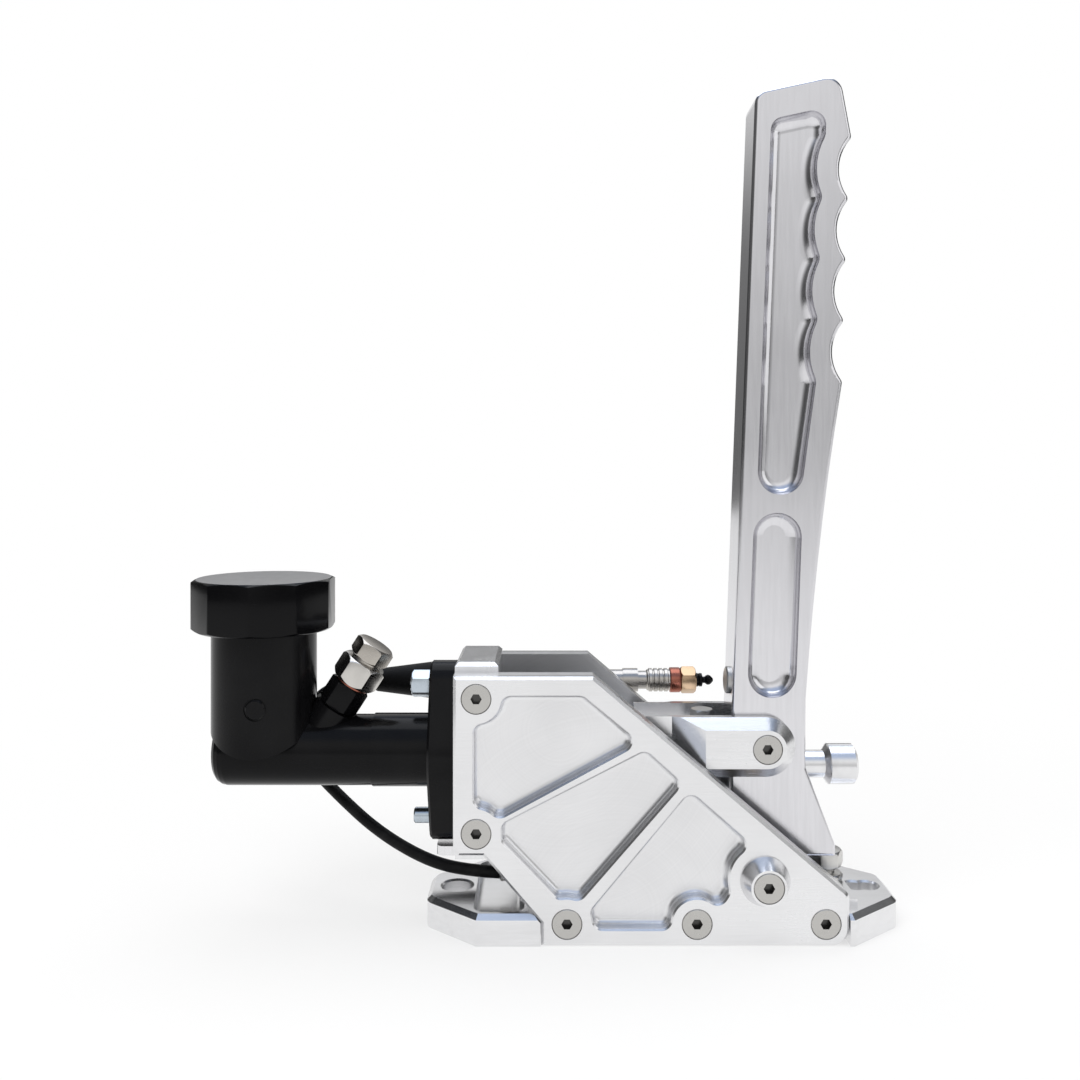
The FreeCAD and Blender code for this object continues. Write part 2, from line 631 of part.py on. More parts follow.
def cylinder_body():
    """The master cylinder: barrel, flange, snout, reservoir bowl and outlet boss."""
    axis = CYLINDER_Z
    barrel = turned([(0, CYLINDER_RADIUS - CYLINDER_END_ROUND), (0.8, CYLINDER_RADIUS - 3.2),
                     (2.2, CYLINDER_RADIUS - 1.4), (4.0, CYLINDER_RADIUS - 0.4), (6.0, CYLINDER_RADIUS),
                     (CYLINDER_STEP_X - CYLINDER_END_X, CYLINDER_RADIUS),
                     (CYLINDER_STEP_X - CYLINDER_END_X, CYLINDER_REAR_RADIUS),
                     (FLANGE_FRONT_X - CYLINDER_END_X + 1, CYLINDER_REAR_RADIUS)],
                    (CYLINDER_END_X, 0, axis), (1, 0, 0))
    snout = rod(SNOUT_RADIUS, (PLATE_FRONT_X - 1, 0, axis), (SNOUT_END_X, 0, axis))
    boss = rod(OUTLET_BOSS_RADIUS, outlet_point(-18), outlet_point(outlet_boss_end()))
    body = barrel.fuse([flange(), snout, reservoir_outer(), boss]).removeSplitter()
    bowl = rod(RESERVOIR_RADIUS - RESERVOIR_WALL, (RESERVOIR_X, 0, RESERVOIR_FLOOR_Z),
               (RESERVOIR_X, 0, RESERVOIR_TOP_Z + 1))
    bowl = bowl.makeFillet(4.0, edges_in_plane(bowl, Z_AXIS, RESERVOIR_FLOOR_Z))
    bore = rod(BORE_RADIUS, (BORE_END_X, 0, axis), (SNOUT_END_X + 1, 0, axis))
    groove = rod(BORE_RADIUS + 1.2, (RETAINER_X, 0, axis), (RETAINER_X + RING_THICKNESS, 0, axis))
    feed_x = BORE_END_X + VALVE_SEAT_LENGTH / 2
    feed = rod(PORT_RADIUS, (feed_x, 0, axis), (feed_x, 0, RESERVOIR_FLOOR_Z + 1))
    port = rod(OUTLET_PORT_RADIUS, outlet_point(-24), outlet_point(0))
    thread = rod(OUTLET_THREAD_RADIUS + RUNNING_FIT, outlet_point(-12), outlet_point(1))
    plug_hole = rod(PLUG_SHANK_RADIUS + RUNNING_FIT, (RESERVOIR_X + 2, -RESERVOIR_RADIUS - 2, PLUG_Z),
                    (RESERVOIR_X + 2, -RESERVOIR_RADIUS + RESERVOIR_WALL + 3, PLUG_Z))
    flat = rod(PLUG_HEAD_RADIUS + 0.5, (RESERVOIR_X + 2, -RESERVOIR_RADIUS - 2, PLUG_Z),
               (RESERVOIR_X + 2, -RESERVOIR_RADIUS + 0.6, PLUG_Z))
    seat_radius = ADAPTOR_FLATS / math.sqrt(3) + 0.3
    spot_face = rod(seat_radius, outlet_point(outlet_boss_end()), outlet_point(OUTLET_PLUG_END))
    body = body.cut(spot_face).cut(bowl).cut(bore).cut(groove).cut(feed).cut(port).cut(thread).cut(plug_hole).cut(flat)
    for z in stud_heights():
        body = body.cut(rod(STUD_RADIUS + RUNNING_FIT, (FLANGE_FRONT_X - 1, 0, z), (PLATE_FRONT_X + 1, 0, z)))
    return body


def reservoir_plug():
    """The small round plug in the reservoir's near wall."""
    profile = [(-PLUG_HEAD_HEIGHT, PLUG_HEAD_RADIUS - 0.6), (-PLUG_HEAD_HEIGHT + 0.6, PLUG_HEAD_RADIUS),
               (0, PLUG_HEAD_RADIUS), (0, PLUG_SHANK_RADIUS), (RESERVOIR_WALL, PLUG_SHANK_RADIUS)]
    return turned(profile, (RESERVOIR_X + 2, -RESERVOIR_RADIUS + 0.6, PLUG_Z), (0, 1, 0))


def reservoir_cap():
    """The ten-sided screw cap, with its skirt round the reservoir's neck."""
    points = []
    for i in range(CAP_SIDES):
        angle = 2 * math.pi * (i + CAP_TURN) / CAP_SIDES
        points.append((RESERVOIR_X + CAP_CORNER_RADIUS * math.cos(angle), CAP_CORNER_RADIUS * math.sin(angle)))
    cap = plan_prism(points, CAP_BOTTOM_Z, CAP_TOP_Z)
    rims = edges_in_plane(cap, Z_AXIS, CAP_BOTTOM_Z) + edges_in_plane(cap, Z_AXIS, CAP_TOP_Z)
    cap = cap.makeChamfer(CAP_CHAMFER, rims)
    skirt = RESERVOIR_RADIUS + CAP_PLAY
    ceiling = RESERVOIR_TOP_Z + DIAPHRAGM_THICKNESS + JOINT_GAP
    return cap.cut(rod(skirt, (RESERVOIR_X, 0, CAP_BOTTOM_Z - 1), (RESERVOIR_X, 0, ceiling)))


def diaphragm():
    """The rubber cup that seals the reservoir under the cap."""
    top = RESERVOIR_TOP_Z + DIAPHRAGM_THICKNESS + JOINT_GAP / 2
    rim = RESERVOIR_RADIUS - 0.2
    outer = RESERVOIR_RADIUS - RESERVOIR_WALL - 1
    low = RESERVOIR_TOP_Z - DIAPHRAGM_DEPTH
    shell = turned([(low, outer - 3), (low + 3, outer), (RESERVOIR_TOP_Z + JOINT_GAP / 2, outer),
                    (RESERVOIR_TOP_Z + JOINT_GAP / 2, rim), (top, rim)], (RESERVOIR_X, 0, 0), (0, 0, 1))
    wall = DIAPHRAGM_THICKNESS
    hollow = turned([(low + wall, outer - 3 - wall / 2), (low + 3 + wall / 2, outer - wall), (top + 1, outer - wall)],
                    (RESERVOIR_X, 0, 0), (0, 0, 1))
    return shell.cut(hollow)


def flange_studs():
    """The upper stud, and the socket screw that takes the lower stud's place."""
    low, high = stud_heights()
    stud = rod(STUD_RADIUS, (FLANGE_FRONT_X - NUT_LENGTH - 0.6, 0, high), (BLOCK_REAR_X - 4, 0, high))
    screw = turned([(0, STUD_RADIUS - 0.5), (0.5, STUD_RADIUS), (NUT_LENGTH + BLOCK_THICKNESS, STUD_RADIUS)],
                   (FLANGE_FRONT_X - NUT_LENGTH + 0.8, 0, low), (1, 0, 0))
    socket = aimed(hexagon_bar(SCREW_SOCKET_FLATS, 3.0), (FLANGE_FRONT_X - NUT_LENGTH + 0.8, 0, low), (1, 0, 0))
    return [stud, screw.cut(socket)]


def flange_nut():
    """The long hexagon nut on the upper stud."""
    nut = hexagon_bar(NUT_FLATS, NUT_LENGTH, 0.9)
    nut = nut.cut(rod(STUD_RADIUS, (0, 0, -1), (0, 0, NUT_LENGTH + 1)))
    return aimed(nut, (FLANGE_FRONT_X, 0, stud_heights()[1]), (-1, 0, 0))


# Angled outlet
def on_outlet(shape, station):
    """A piece made along +Z, put on the outlet's axis at a station."""
    return aimed(shape, outlet_point(station), outlet_direction())


def outlet_washer():
    """The copper washer between the adaptor and the nut."""
    ring = tube(OUTLET_THREAD_RADIUS + 2.6, OUTLET_THREAD_RADIUS + 0.1, (0, 0, 0), (0, 0, OUTLET_WASHER))
    return on_outlet(ring, ADAPTOR_END)


def outlet_adaptor():
    """The black adaptor: thread into the boss, hexagon, and a thread for the nut."""
    length = ADAPTOR_END - ADAPTOR_START
    hexagon = hexagon_bar(ADAPTOR_FLATS, length, 1.6)
    thread = rod(OUTLET_THREAD_RADIUS, (0, 0, -6.5), (0, 0, length + 8))
    bore = rod(OUTLET_PORT_RADIUS, (0, 0, -7), (0, 0, length + 9))
    return on_outlet(hexagon.fuse(thread).cut(bore), ADAPTOR_START)


def outlet_nut():
    """The steel union nut."""
    length = OUTLET_NUT_END - ADAPTOR_END - OUTLET_WASHER
    nut = hexagon_bar(OUTLET_NUT_FLATS, length, 1.8)
    nut = nut.common(aimed(hexagon_bar(OUTLET_NUT_FLATS + 0.02, length, 1.8), (0, 0, length), (0, 0, -1)))
    nut = nut.cut(rod(OUTLET_THREAD_RADIUS + RUNNING_FIT, (0, 0, -1), (0, 0, length + 1)))
    return on_outlet(nut, ADAPTOR_END + OUTLET_WASHER)


def outlet_plug():
    """The steel hexagon plug that closes the outlet."""
    collar = OUTLET_COLLAR_END - OUTLET_NUT_END
    head = OUTLET_PLUG_END - OUTLET_COLLAR_END
    hexagon = aimed(hexagon_bar(OUTLET_PLUG_FLATS, head, 1.6), (0, 0, collar), (0, 0, 1))
    base = rod(OUTLET_PLUG_FLATS / 2 - 0.6, (0, 0, 0), (0, 0, collar))
    shank = rod(OUTLET_THREAD_RADIUS, (0, 0, -3.0), (0, 0, 1))
    return on_outlet(hexagon.fuse([base, shank]), OUTLET_NUT_END)


# Inside the bore
def seal_stations():
    """Front edges of the primary and secondary seals."""
    return PISTON_FRONT_X + PISTON_NOSE_LENGTH + 3, PISTON_REAR_X - 22


def piston():
    """The piston: nose, two seal grooves and the cup for the pushrod's ball."""
    body_radius = BORE_RADIUS - RUNNING_FIT
    shape = rod(body_radius, (PISTON_FRONT_X + PISTON_NOSE_LENGTH, 0, CYLINDER_Z), (PISTON_REAR_X, 0, CYLINDER_Z))
    nose = rod(PISTON_NOSE_RADIUS, (PISTON_FRONT_X, 0, CYLINDER_Z), (PISTON_FRONT_X + PISTON_NOSE_LENGTH + 1, 0, CYLINDER_Z))
    shape = shape.fuse(nose)
    for x in seal_stations():
        groove = tube(body_radius + 1, body_radius - SEAL_DEPTH, (x, 0, CYLINDER_Z), (x + SEAL_WIDTH, 0, CYLINDER_Z))
        shape = shape.cut(groove)
    cup = BALL_RADIUS + BALL_PLAY
    shape = shape.cut(Part.makeSphere(cup, V(BALL_X, 0, CYLINDER_Z)))
    shape = shape.cut(rod(cup, (BALL_X, 0, CYLINDER_Z), (PISTON_REAR_X + 1, 0, CYLINDER_Z)))
    stem_hole = rod(STEM_RADIUS + 1, (PISTON_FRONT_X - 1, 0, CYLINDER_Z), (PISTON_FRONT_X + 30, 0, CYLINDER_Z))
    return shape.cut(stem_hole)


def seal(x):
    """One rubber ring in its groove on the piston."""
    inner = BORE_RADIUS - RUNNING_FIT - SEAL_DEPTH
    return tube(BORE_RADIUS - RUNNING_FIT / 2, inner + RUNNING_FIT, (x + RUNNING_FIT, 0, CYLINDER_Z),
                (x + SEAL_WIDTH - RUNNING_FIT, 0, CYLINDER_Z))


def return_spring():
    """The coil spring between the valve seat and the piston."""
    start = BORE_END_X + VALVE_SEAT_LENGTH + SPRING_WIRE_RADIUS + JOINT_GAP
    end = PISTON_FRONT_X + PISTON_NOSE_LENGTH - SPRING_WIRE_RADIUS - JOINT_GAP
    length = end - start
    path = Part.Wire(Part.makeHelix(length / SPRING_TURNS, length, SPRING_MEAN_RADIUS))
    corners = []
    for i in range(SPRING_WIRE_SIDES + 1):
        angle = 2 * math.pi * i / SPRING_WIRE_SIDES
        corners.append(V(SPRING_MEAN_RADIUS + SPRING_WIRE_RADIUS * math.cos(angle), 0,
                         SPRING_WIRE_RADIUS * math.sin(angle)))
    coil = path.makePipeShell([Part.makePolygon(corners)], True, True)
    return aimed(coil, (start, 0, CYLINDER_Z), (1, 0, 0))


def valve_stem():
    """The centre valve: a seat disc at the closed end and the stem that the piston slides over."""
    seat = BORE_END_X + VALVE_SEAT_LENGTH
    disc = rod(BORE_RADIUS - 1.0, (BORE_END_X + VALVE_SEAT_LENGTH / 2 + 1.8, 0, CYLINDER_Z), (seat, 0, CYLINDER_Z))
    stem = rod(STEM_RADIUS, (BORE_END_X + 2.5, 0, CYLINDER_Z), (PISTON_FRONT_X + 10, 0, CYLINDER_Z))
    return disc.fuse(stem)


def valve_seal():
    """The rubber face seal of the centre valve."""
    return rod(4.0, (BORE_END_X + 0.1, 0, CYLINDER_Z), (BORE_END_X + 2.4, 0, CYLINDER_Z))


def retaining_washer():
    """The washer that stops the piston."""
    return tube(BORE_RADIUS - RUNNING_FIT, PUSHROD_RADIUS + 2, (PISTON_REAR_X + RUNNING_FIT, 0, CYLINDER_Z),
                (RETAINER_X, 0, CYLINDER_Z))


def retaining_ring():
    """The split spring ring in the snout's groove."""
    ring = tube(BORE_RADIUS + 1.1, BORE_RADIUS - 1.8, (RETAINER_X + RUNNING_FIT, 0, CYLINDER_Z),
                (RETAINER_X + RING_THICKNESS - RUNNING_FIT, 0, CYLINDER_Z))
    gap = box((RETAINER_X - 1, RETAINER_X + RING_THICKNESS + 1), (-3.5, 3.5), (CYLINDER_Z - 20, CYLINDER_Z))
    return ring.cut(gap)


def dust_boot():
    """The pleated rubber boot from the snout to the pushrod."""
    start = SNOUT_END_X - SNOUT_REACH + JOINT_GAP
    grip = SNOUT_RADIUS + RUNNING_FIT
    outer = [(start, grip + BOOT_WALL), (SNOUT_END_X + BOOT_WALL, grip + BOOT_WALL)]
    inner = [(start - 1, grip), (SNOUT_END_X + RUNNING_FIT, grip), (SNOUT_END_X + RUNNING_FIT, SNOUT_RADIUS - 2)]
    x = SNOUT_END_X + BOOT_WALL
    for i in range(BOOT_PLEATS):
        crest = SNOUT_RADIUS - 0.8 - i
        root = crest - 3.0
        outer += [(x + BOOT_STEP / 2, root), (x + BOOT_STEP, crest)]
        inner += [(x + BOOT_STEP / 2 - 0.2, root - BOOT_WALL), (x + BOOT_STEP - 0.4, crest - BOOT_WALL)]
        x += BOOT_STEP
    neck = PUSHROD_RADIUS + 2
    outer += [(x + 2, neck + BOOT_WALL), (x + 6, neck + BOOT_WALL)]
    inner += [(x + 1.6, neck), (x + 7, neck)]
    return turned(outer, (0, 0, CYLINDER_Z), (1, 0, 0)).cut(turned(inner, (0, 0, CYLINDER_Z), (1, 0, 0)))


# Lever
def lever_point(u, w):
    """A point of the lever's own axes in the side view."""
    lean = math.radians(LEVER_LEAN)
    return (PIVOT_X + u * math.cos(lean) + w * math.sin(lean),
            PIVOT_Z - u * math.sin(lean) + w * math.cos(lean))


def lever_vector(u, w, y):
    """The same point as a vector at one y."""
    x, z = lever_point(u, w)
    return V(x, y, z)


def grip_cusps():
    """W stations of the grip's cusps, from the top down."""
    return [GRIP_FIRST_CUSP_W - GRIP_PITCH * i for i in range(GRIP_COUNT + 1)]


def waved_edge(u, depth, y):
    """One arc for each finger, from the top cusp down."""
    cusps = grip_cusps()
    arcs = []
    for high, low in zip(cusps, cusps[1:]):
        middle = (high + low) / 2
        arcs.append(Part.Arc(lever_vector(u, high, y), lever_vector(u - depth, middle, y),
                             lever_vector(u, low, y)).toShape())
    return arcs


def line(start, end):
    """A straight edge."""
    return Part.LineSegment(start, end).toShape()


def lever_outline(y):
    """The lever's closed outline at one y, clockwise from the end round the pivot."""
    front = -LEVER_END_RADIUS
    last_cusp = lever_vector(GRIP_CUSP_U, grip_cusps()[-1], y)
    first_cusp = lever_vector(GRIP_CUSP_U, grip_cusps()[0], y)
    end_w = -LEVER_END_RADIUS / 2
    end_u = math.sqrt(LEVER_END_RADIUS ** 2 - end_w ** 2)
    corner = lever_vector(*LEVER_REAR_TOP, y)
    waist = lever_vector(*LEVER_WAIST, y)
    share = (LEVER_MID_W - LEVER_WAIST[1]) / (grip_cusps()[-1] - LEVER_WAIST[1])
    mid_u = LEVER_WAIST[0] + (GRIP_CUSP_U - LEVER_WAIST[0]) * share - LEVER_BACK_BOW
    heel_top = lever_vector(*HEEL_TOP, y)
    heel_tip = lever_vector(*HEEL_TIP, y)
    edges = [line(lever_vector(front, 0, y), lever_vector(front, LEVER_FRONT_TOP_W, y)),
             line(lever_vector(front, LEVER_FRONT_TOP_W, y), corner),
             line(corner, first_cusp)]
    edges += waved_edge(GRIP_CUSP_U, GRIP_DEPTH, y)
    heel_base = V(heel_tip.x, y, HEEL_BOTTOM_Z)
    end_start = lever_vector(end_u, end_w, y)
    heel_back = V(end_start.x + 9, y, HEEL_BOTTOM_Z)
    edges += [Part.Arc(last_cusp, lever_vector(mid_u, LEVER_MID_W, y), waist).toShape(),
              line(waist, heel_top), line(heel_top, heel_tip), line(heel_tip, heel_base),
              line(heel_base, heel_back), line(heel_back, end_start),
              Part.Arc(end_start, lever_vector(0, -LEVER_END_RADIUS, y), lever_vector(front, 0, y)).toShape()]
    return Part.Wire(edges)


def upper_pocket_wire(y):
    """The upper pocket's outline: straight in front, waved behind the fingers."""
    left, right = UPPER_POCKET_LEFT_U, UPPER_POCKET_RIGHT_U
    bottom_u, bottom_w = UPPER_POCKET_BOTTOM
    reach = bottom_u - left
    slope = (LEVER_REAR_TOP[1] - LEVER_FRONT_TOP_W) / (LEVER_REAR_TOP[0] + LEVER_END_RADIUS)
    top_left = lever_vector(left, UPPER_POCKET_TOP_W - slope * (right - left), y)
    top_right = lever_vector(right, UPPER_POCKET_TOP_W, y)
    first = lever_vector(right, grip_cusps()[0], y)
    last = lever_vector(right, grip_cusps()[-1], y)
    low_right = lever_vector(bottom_u + reach, bottom_w + reach, y)
    low_left = lever_vector(left, bottom_w + reach, y)
    edges = [line(low_left, top_left), line(top_left, top_right), line(top_right, first)]
    edges += waved_edge(right, UPPER_POCKET_WAVE, y)
    edges += [line(last, low_right), Part.Arc(low_right, lever_vector(bottom_u, bottom_w, y), low_left).toShape()]
    return Part.Wire(edges)


def lower_pocket_wire(y):
    """The lower pocket's outline: a slot with round ends."""
    low, high = LOWER_POCKET_SPAN
    half = LOWER_POCKET_HALF_WIDTH
    left, right = LOWER_POCKET_U - half, LOWER_POCKET_U + half
    edges = [line(lever_vector(left, low + half, y), lever_vector(left, high - half, y)),
             Part.Arc(lever_vector(left, high - half, y), lever_vector(LOWER_POCKET_U, high, y),
                      lever_vector(right, high - half, y)).toShape(),
             line(lever_vector(right, high - half, y), lever_vector(right, low + half, y)),
             Part.Arc(lever_vector(right, low + half, y), lever_vector(LOWER_POCKET_U, low, y),
                      lever_vector(left, low + half, y)).toShape()]
    return Part.Wire(edges)


def lever_pocket_cutter(wire_at):
    """The material milled out of a pocket in the lever's near face, with a coved floor."""
    face_y = -LEVER_HALF
    floor_y = face_y + LEVER_POCKET_DEPTH
    cutter = Part.Face(wire_at(face_y - 2)).extrude(V(0, LEVER_POCKET_DEPTH + 2, 0))
    sharp = [edge for edge in edges_along(cutter, Y_AXIS) if not smooth_corner(cutter, edge)]
    if sharp:
        cutter = cutter.makeFillet(LEVER_POCKET_FILLET + 0.4, sharp)
    return cutter.makeFillet(LEVER_POCKET_FILLET, edges_in_plane(cutter, Y_AXIS, floor_y))


def smooth_corner(shape, edge):
    """Whether the two faces at an edge run into each other without a corner."""
    faces = [face for face in shape.Faces if any(e.isSame(edge) for e in face.Edges)]
    middle = edge.discretize(3)[1]
    normals = []
    for face in faces:
        u, v = face.Surface.parameter(middle)
        normals.append(face.normalAt(u, v))
    return len(normals) == 2 and normals[0].dot(normals[1]) > 0.999


def lever():
    """The lever: grip, milled pockets on both sides, bores for its bushes and the adjuster."""
    shape = Part.Face(lever_outline(-LEVER_HALF)).extrude(V(0, LEVER_THICKNESS, 0))
    cusps = []
    for w in grip_cusps():
        cusps += edges_along(shape, Y_AXIS, lever_vector(GRIP_CUSP_U, w, 0), 0.5)
    shape = shape.makeFillet(GRIP_CUSP_ROUND, cusps)
    shape = shape.makeFillet(6.0, edges_along(shape, Y_AXIS, lever_vector(-LEVER_END_RADIUS, LEVER_FRONT_TOP_W, 0), 0.5))
    shape = shape.makeFillet(7.0, edges_along(shape, Y_AXIS, lever_vector(*LEVER_REAR_TOP, 0), 0.5))
    heel_round = min(HEEL_ROUND, (lever_point(*HEEL_TIP)[1] - HEEL_BOTTOM_Z) * 0.56)
    for x, z in (lever_point(*HEEL_TOP), lever_point(*HEEL_TIP)):
        shape = shape.makeFillet(heel_round, edges_along(shape, Y_AXIS, V(x, 0, z), 0.5))
    rim = edges_in_plane(shape, Y_AXIS, -LEVER_HALF) + edges_in_plane(shape, Y_AXIS, LEVER_HALF)
    shape = shape.makeFillet(LEVER_EDGE_FILLET, rim)
    for wire_at in (upper_pocket_wire, lower_pocket_wire):
        cutter = lever_pocket_cutter(wire_at)
        shape = shape.cut(cutter).cut(mirrored(cutter))
    reach = LEVER_HALF + 1
    for radius, x, z in ((PIVOT_BUSH_RADIUS, PIVOT_X, PIVOT_Z), (FORK_BUSH_RADIUS, FORK_PIN_X, FORK_PIN_Z)):
        shape = shape.cut(rod(radius, (x, -reach, z), (x, reach, z)))
    screw = ADJUSTER_SHANK_RADIUS + RUNNING_FIT
    shape = shape.cut(rod(screw, (0, 0, ADJUSTER_Z), (PLATE_REAR_X + 20, 0, ADJUSTER_Z)))
    seat_x = ADJUSTER_NECK_X - JOINT_GAP
    shape = shape.cut(rod(ADJUSTER_NECK_RADIUS + 0.6, (seat_x, 0, ADJUSTER_Z), (seat_x + 30, 0, ADJUSTER_Z)))
    disc_seat = lever_vector(-LEVER_END_RADIUS, DISC_W, 0)
    lean = math.radians(LEVER_LEAN)
    hole = aimed(rod(2.5, (0, 0, -1), (0, 0, 5)), tuple(disc_seat), (math.cos(lean), 0, -math.sin(lean)))
    return shape.cut(hole)


def contact_disc():
    """The small round disc on the lever's front edge, on a short stem."""
    lean = math.radians(LEVER_LEAN)
    disc = turned([(-4.8, 2.5), (0, 2.5), (0, DISC_RADIUS), (DISC_THICKNESS - 0.5, DISC_RADIUS),
                   (DISC_THICKNESS, DISC_RADIUS - 0.8)], (0, 0, 0), (0, 0, 1))
    return aimed(disc, tuple(lever_vector(-LEVER_END_RADIUS, DISC_W, 0)), (-math.cos(lean), 0, math.sin(lean)))


# Pivot
def at_pivot(shape, y, direction):
    """A piece made along +Z, put on the pivot's axis."""
    return aimed(shape, (PIVOT_X, y, PIVOT_Z), (0, direction, 0))


def pivot_shaft():
    """The shaft across the frame, tapped for a screw at each end."""
    shaft = rod(PIVOT_SHAFT_RADIUS, (PIVOT_X, -PLATE_OUTER_Y, PIVOT_Z), (PIVOT_X, PLATE_OUTER_Y, PIVOT_Z))
    reach = SCREW_LENGTH - CONE_HEIGHT + 1
    hole = rod(SCREW_SHANK_RADIUS + RUNNING_FIT, (0, 0, -1), (0, 0, reach))
    return shaft.cut(at_pivot(hole, -PLATE_OUTER_Y, 1)).cut(at_pivot(hole, PLATE_OUTER_Y, -1))


def pivot_bush():
    """The near one of two flanged bushes in the lever."""
    inner = PIVOT_SHAFT_RADIUS + RUNNING_FIT
    sleeve = LEVER_HALF - 0.5
    shape = turned([(-PIVOT_BUSH_FLANGE, PIVOT_BUSH_FLANGE_RADIUS), (0, PIVOT_BUSH_FLANGE_RADIUS),
                    (0, PIVOT_BUSH_RADIUS), (sleeve, PIVOT_BUSH_RADIUS)], (0, 0, 0), (0, 0, 1))
    shape = shape.cut(rod(inner, (0, 0, -PIVOT_BUSH_FLANGE - 1), (0, 0, sleeve + 1)))
    return at_pivot(shape, -LEVER_HALF, 1)


def pivot_spacer():
    """The near one of two spacers between a plate and the lever's bush."""
    inner = PIVOT_SHAFT_RADIUS + RUNNING_FIT
    length = PLATE_INNER_Y - LEVER_HALF - PIVOT_BUSH_FLANGE - SIDE_PLAY
    return at_pivot(tube(PIVOT_SPACER_RADIUS, inner, (0, 0, 0), (0, 0, length)), -PLATE_INNER_Y, 1)


def pivot_collar():
    """The near one of two conical collars outside the plates."""
    cone = turned([(0, CONE_BASE_RADIUS), (0.8, CONE_BASE_RADIUS), (CONE_HEIGHT, CONE_TOP_RADIUS)],
                  (0, 0, 0), (0, 0, 1))
    collar = at_pivot(cone, -PLATE_OUTER_Y, -1)
    seat = screw_seat(SCREW_HEAD_RADIUS, SCREW_SHANK_RADIUS, SCREW_LENGTH)
    return collar.cut(at_pivot(seat, -PLATE_OUTER_Y - CONE_HEIGHT, 1))


def pivot_screw():
    """The near one of two screws that hold the collars."""
    return at_pivot(frame_screw(), -PLATE_OUTER_Y - CONE_HEIGHT, 1)


# Fork and pushrod
def fork():
    """The fork: two chamfered ears astride the lever, and the cross wall that holds the pushrod."""
    half = FORK_WIDTH / 2
    pin = (FORK_PIN_X, FORK_PIN_Z)
    top, bottom = pin[1] + FORK_EAR_RADIUS, pin[1] - FORK_EAR_RADIUS
    arm = box((FORK_FRONT_X, pin[0]), (-half, half), (bottom, top))
    end = rod(FORK_EAR_RADIUS, (pin[0], -half, pin[1]), (pin[0], half, pin[1]))
    shape = arm.fuse(end).removeSplitter()
    rim = edges_in_plane(shape, Y_AXIS, -half) + edges_in_plane(shape, Y_AXIS, half)
    rim = [edge for edge in rim if edge.BoundBox.XMax > FORK_FRONT_X + 1]
    shape = shape.makeChamfer(FORK_CHAMFER, rim)
    throat = LEVER_HALF + SIDE_PLAY
    shape = shape.cut(box((FORK_THROAT_X, pin[0] + 20), (-throat, throat), (bottom - 1, top + 1)))
    shape = shape.cut(box((FORK_FRONT_X - 1, FORK_THROAT_X + 1), (-throat, throat), (FORK_BRIDGE_TOP_Z, top + 1)))
    narrow = FORK_FRONT_WIDTH / 2
    wedge = [(FORK_FRONT_X - 1, narrow), (FORK_NECK_X, narrow), (FORK_TAPER_X, half), (FORK_TAPER_X, half + 5),
             (FORK_FRONT_X - 1, half + 5)]
    shape = shape.cut(both_sides(plan_prism(wedge, bottom - 1, top + 1)))
    shape = shape.cut(rod(FORK_PIN_RADIUS + RUNNING_FIT, (pin[0], -half - 1, pin[1]), (pin[0], half + 1, pin[1])))
    seat = screw_seat(SCREW_HEAD_RADIUS, SCREW_SHANK_RADIUS, SCREW_LENGTH / 2)
    shape = shape.cut(both_sides(aimed(seat, (pin[0], -half, pin[1]), (0, 1, 0))))
    shape = shape.cut(rod(2.5 + RUNNING_FIT, (FORK_BOLT_X, 0, bottom + 3), (FORK_BOLT_X, 0, top)))
    return shape.cut(pushrod_bar(PUSHROD_RADIUS + RUNNING_FIT, 0, pushrod_length() + 1))


def pushrod_direction():
    """Direction from the pushrod's ball to the fork's pin."""
    return (V(FORK_PIN_X, 0, FORK_PIN_Z) - V(BALL_X, 0, CYLINDER_Z)).normalize()


def pushrod_length():
    """Length of the rod from its ball into the fork's cross wall."""
    return FORK_BOLT_X - 3.5 - BALL_X


def pushrod_bar(radius, start, end):
    """A round bar along the pushrod's axis, measured from its ball."""
    ball = V(BALL_X, 0, CYLINDER_Z)
    direction = pushrod_direction()
    return rod(radius, ball + direction * start, ball + direction * end)


def pushrod():
    """The pushrod and its ball."""
    bar = pushrod_bar(PUSHROD_RADIUS, 0, pushrod_length())
    return bar.fuse(Part.makeSphere(BALL_RADIUS, V(BALL_X, 0, CYLINDER_Z))).removeSplitter()


def pushrod_locknut():
    """The nut that locks the pushrod in the fork."""
    station = FORK_FRONT_X - BALL_X - LOCKNUT_LENGTH - 0.5
    nut = hexagon_bar(LOCKNUT_FLATS, LOCKNUT_LENGTH, 1.2).cut(rod(PUSHROD_RADIUS, (0, 0, -1), (0, 0, 20)))
    ball = V(BALL_X, 0, CYLINDER_Z)
    return aimed(nut, ball + pushrod_direction() * station, pushrod_direction())


def fork_pin():
    """The pin through the fork and the lever, tapped at each end."""
    half = FORK_WIDTH / 2 - (0.3 + SCREW_HEAD_RADIUS - SCREW_SHANK_RADIUS) - 0.4
    pin = rod(FORK_PIN_RADIUS, (FORK_PIN_X, -half, FORK_PIN_Z), (FORK_PIN_X, half, FORK_PIN_Z))
    return pin.cut(rod(SCREW_SHANK_RADIUS + RUNNING_FIT, (FORK_PIN_X, -half - 1, FORK_PIN_Z),
                       (FORK_PIN_X, half + 1, FORK_PIN_Z)))


def fork_bush():
    """The bush in the lever round the fork's pin."""
    return tube(FORK_BUSH_RADIUS, FORK_PIN_RADIUS + RUNNING_FIT, (FORK_PIN_X, -LEVER_HALF, FORK_PIN_Z),
                (FORK_PIN_X, LEVER_HALF, FORK_PIN_Z))


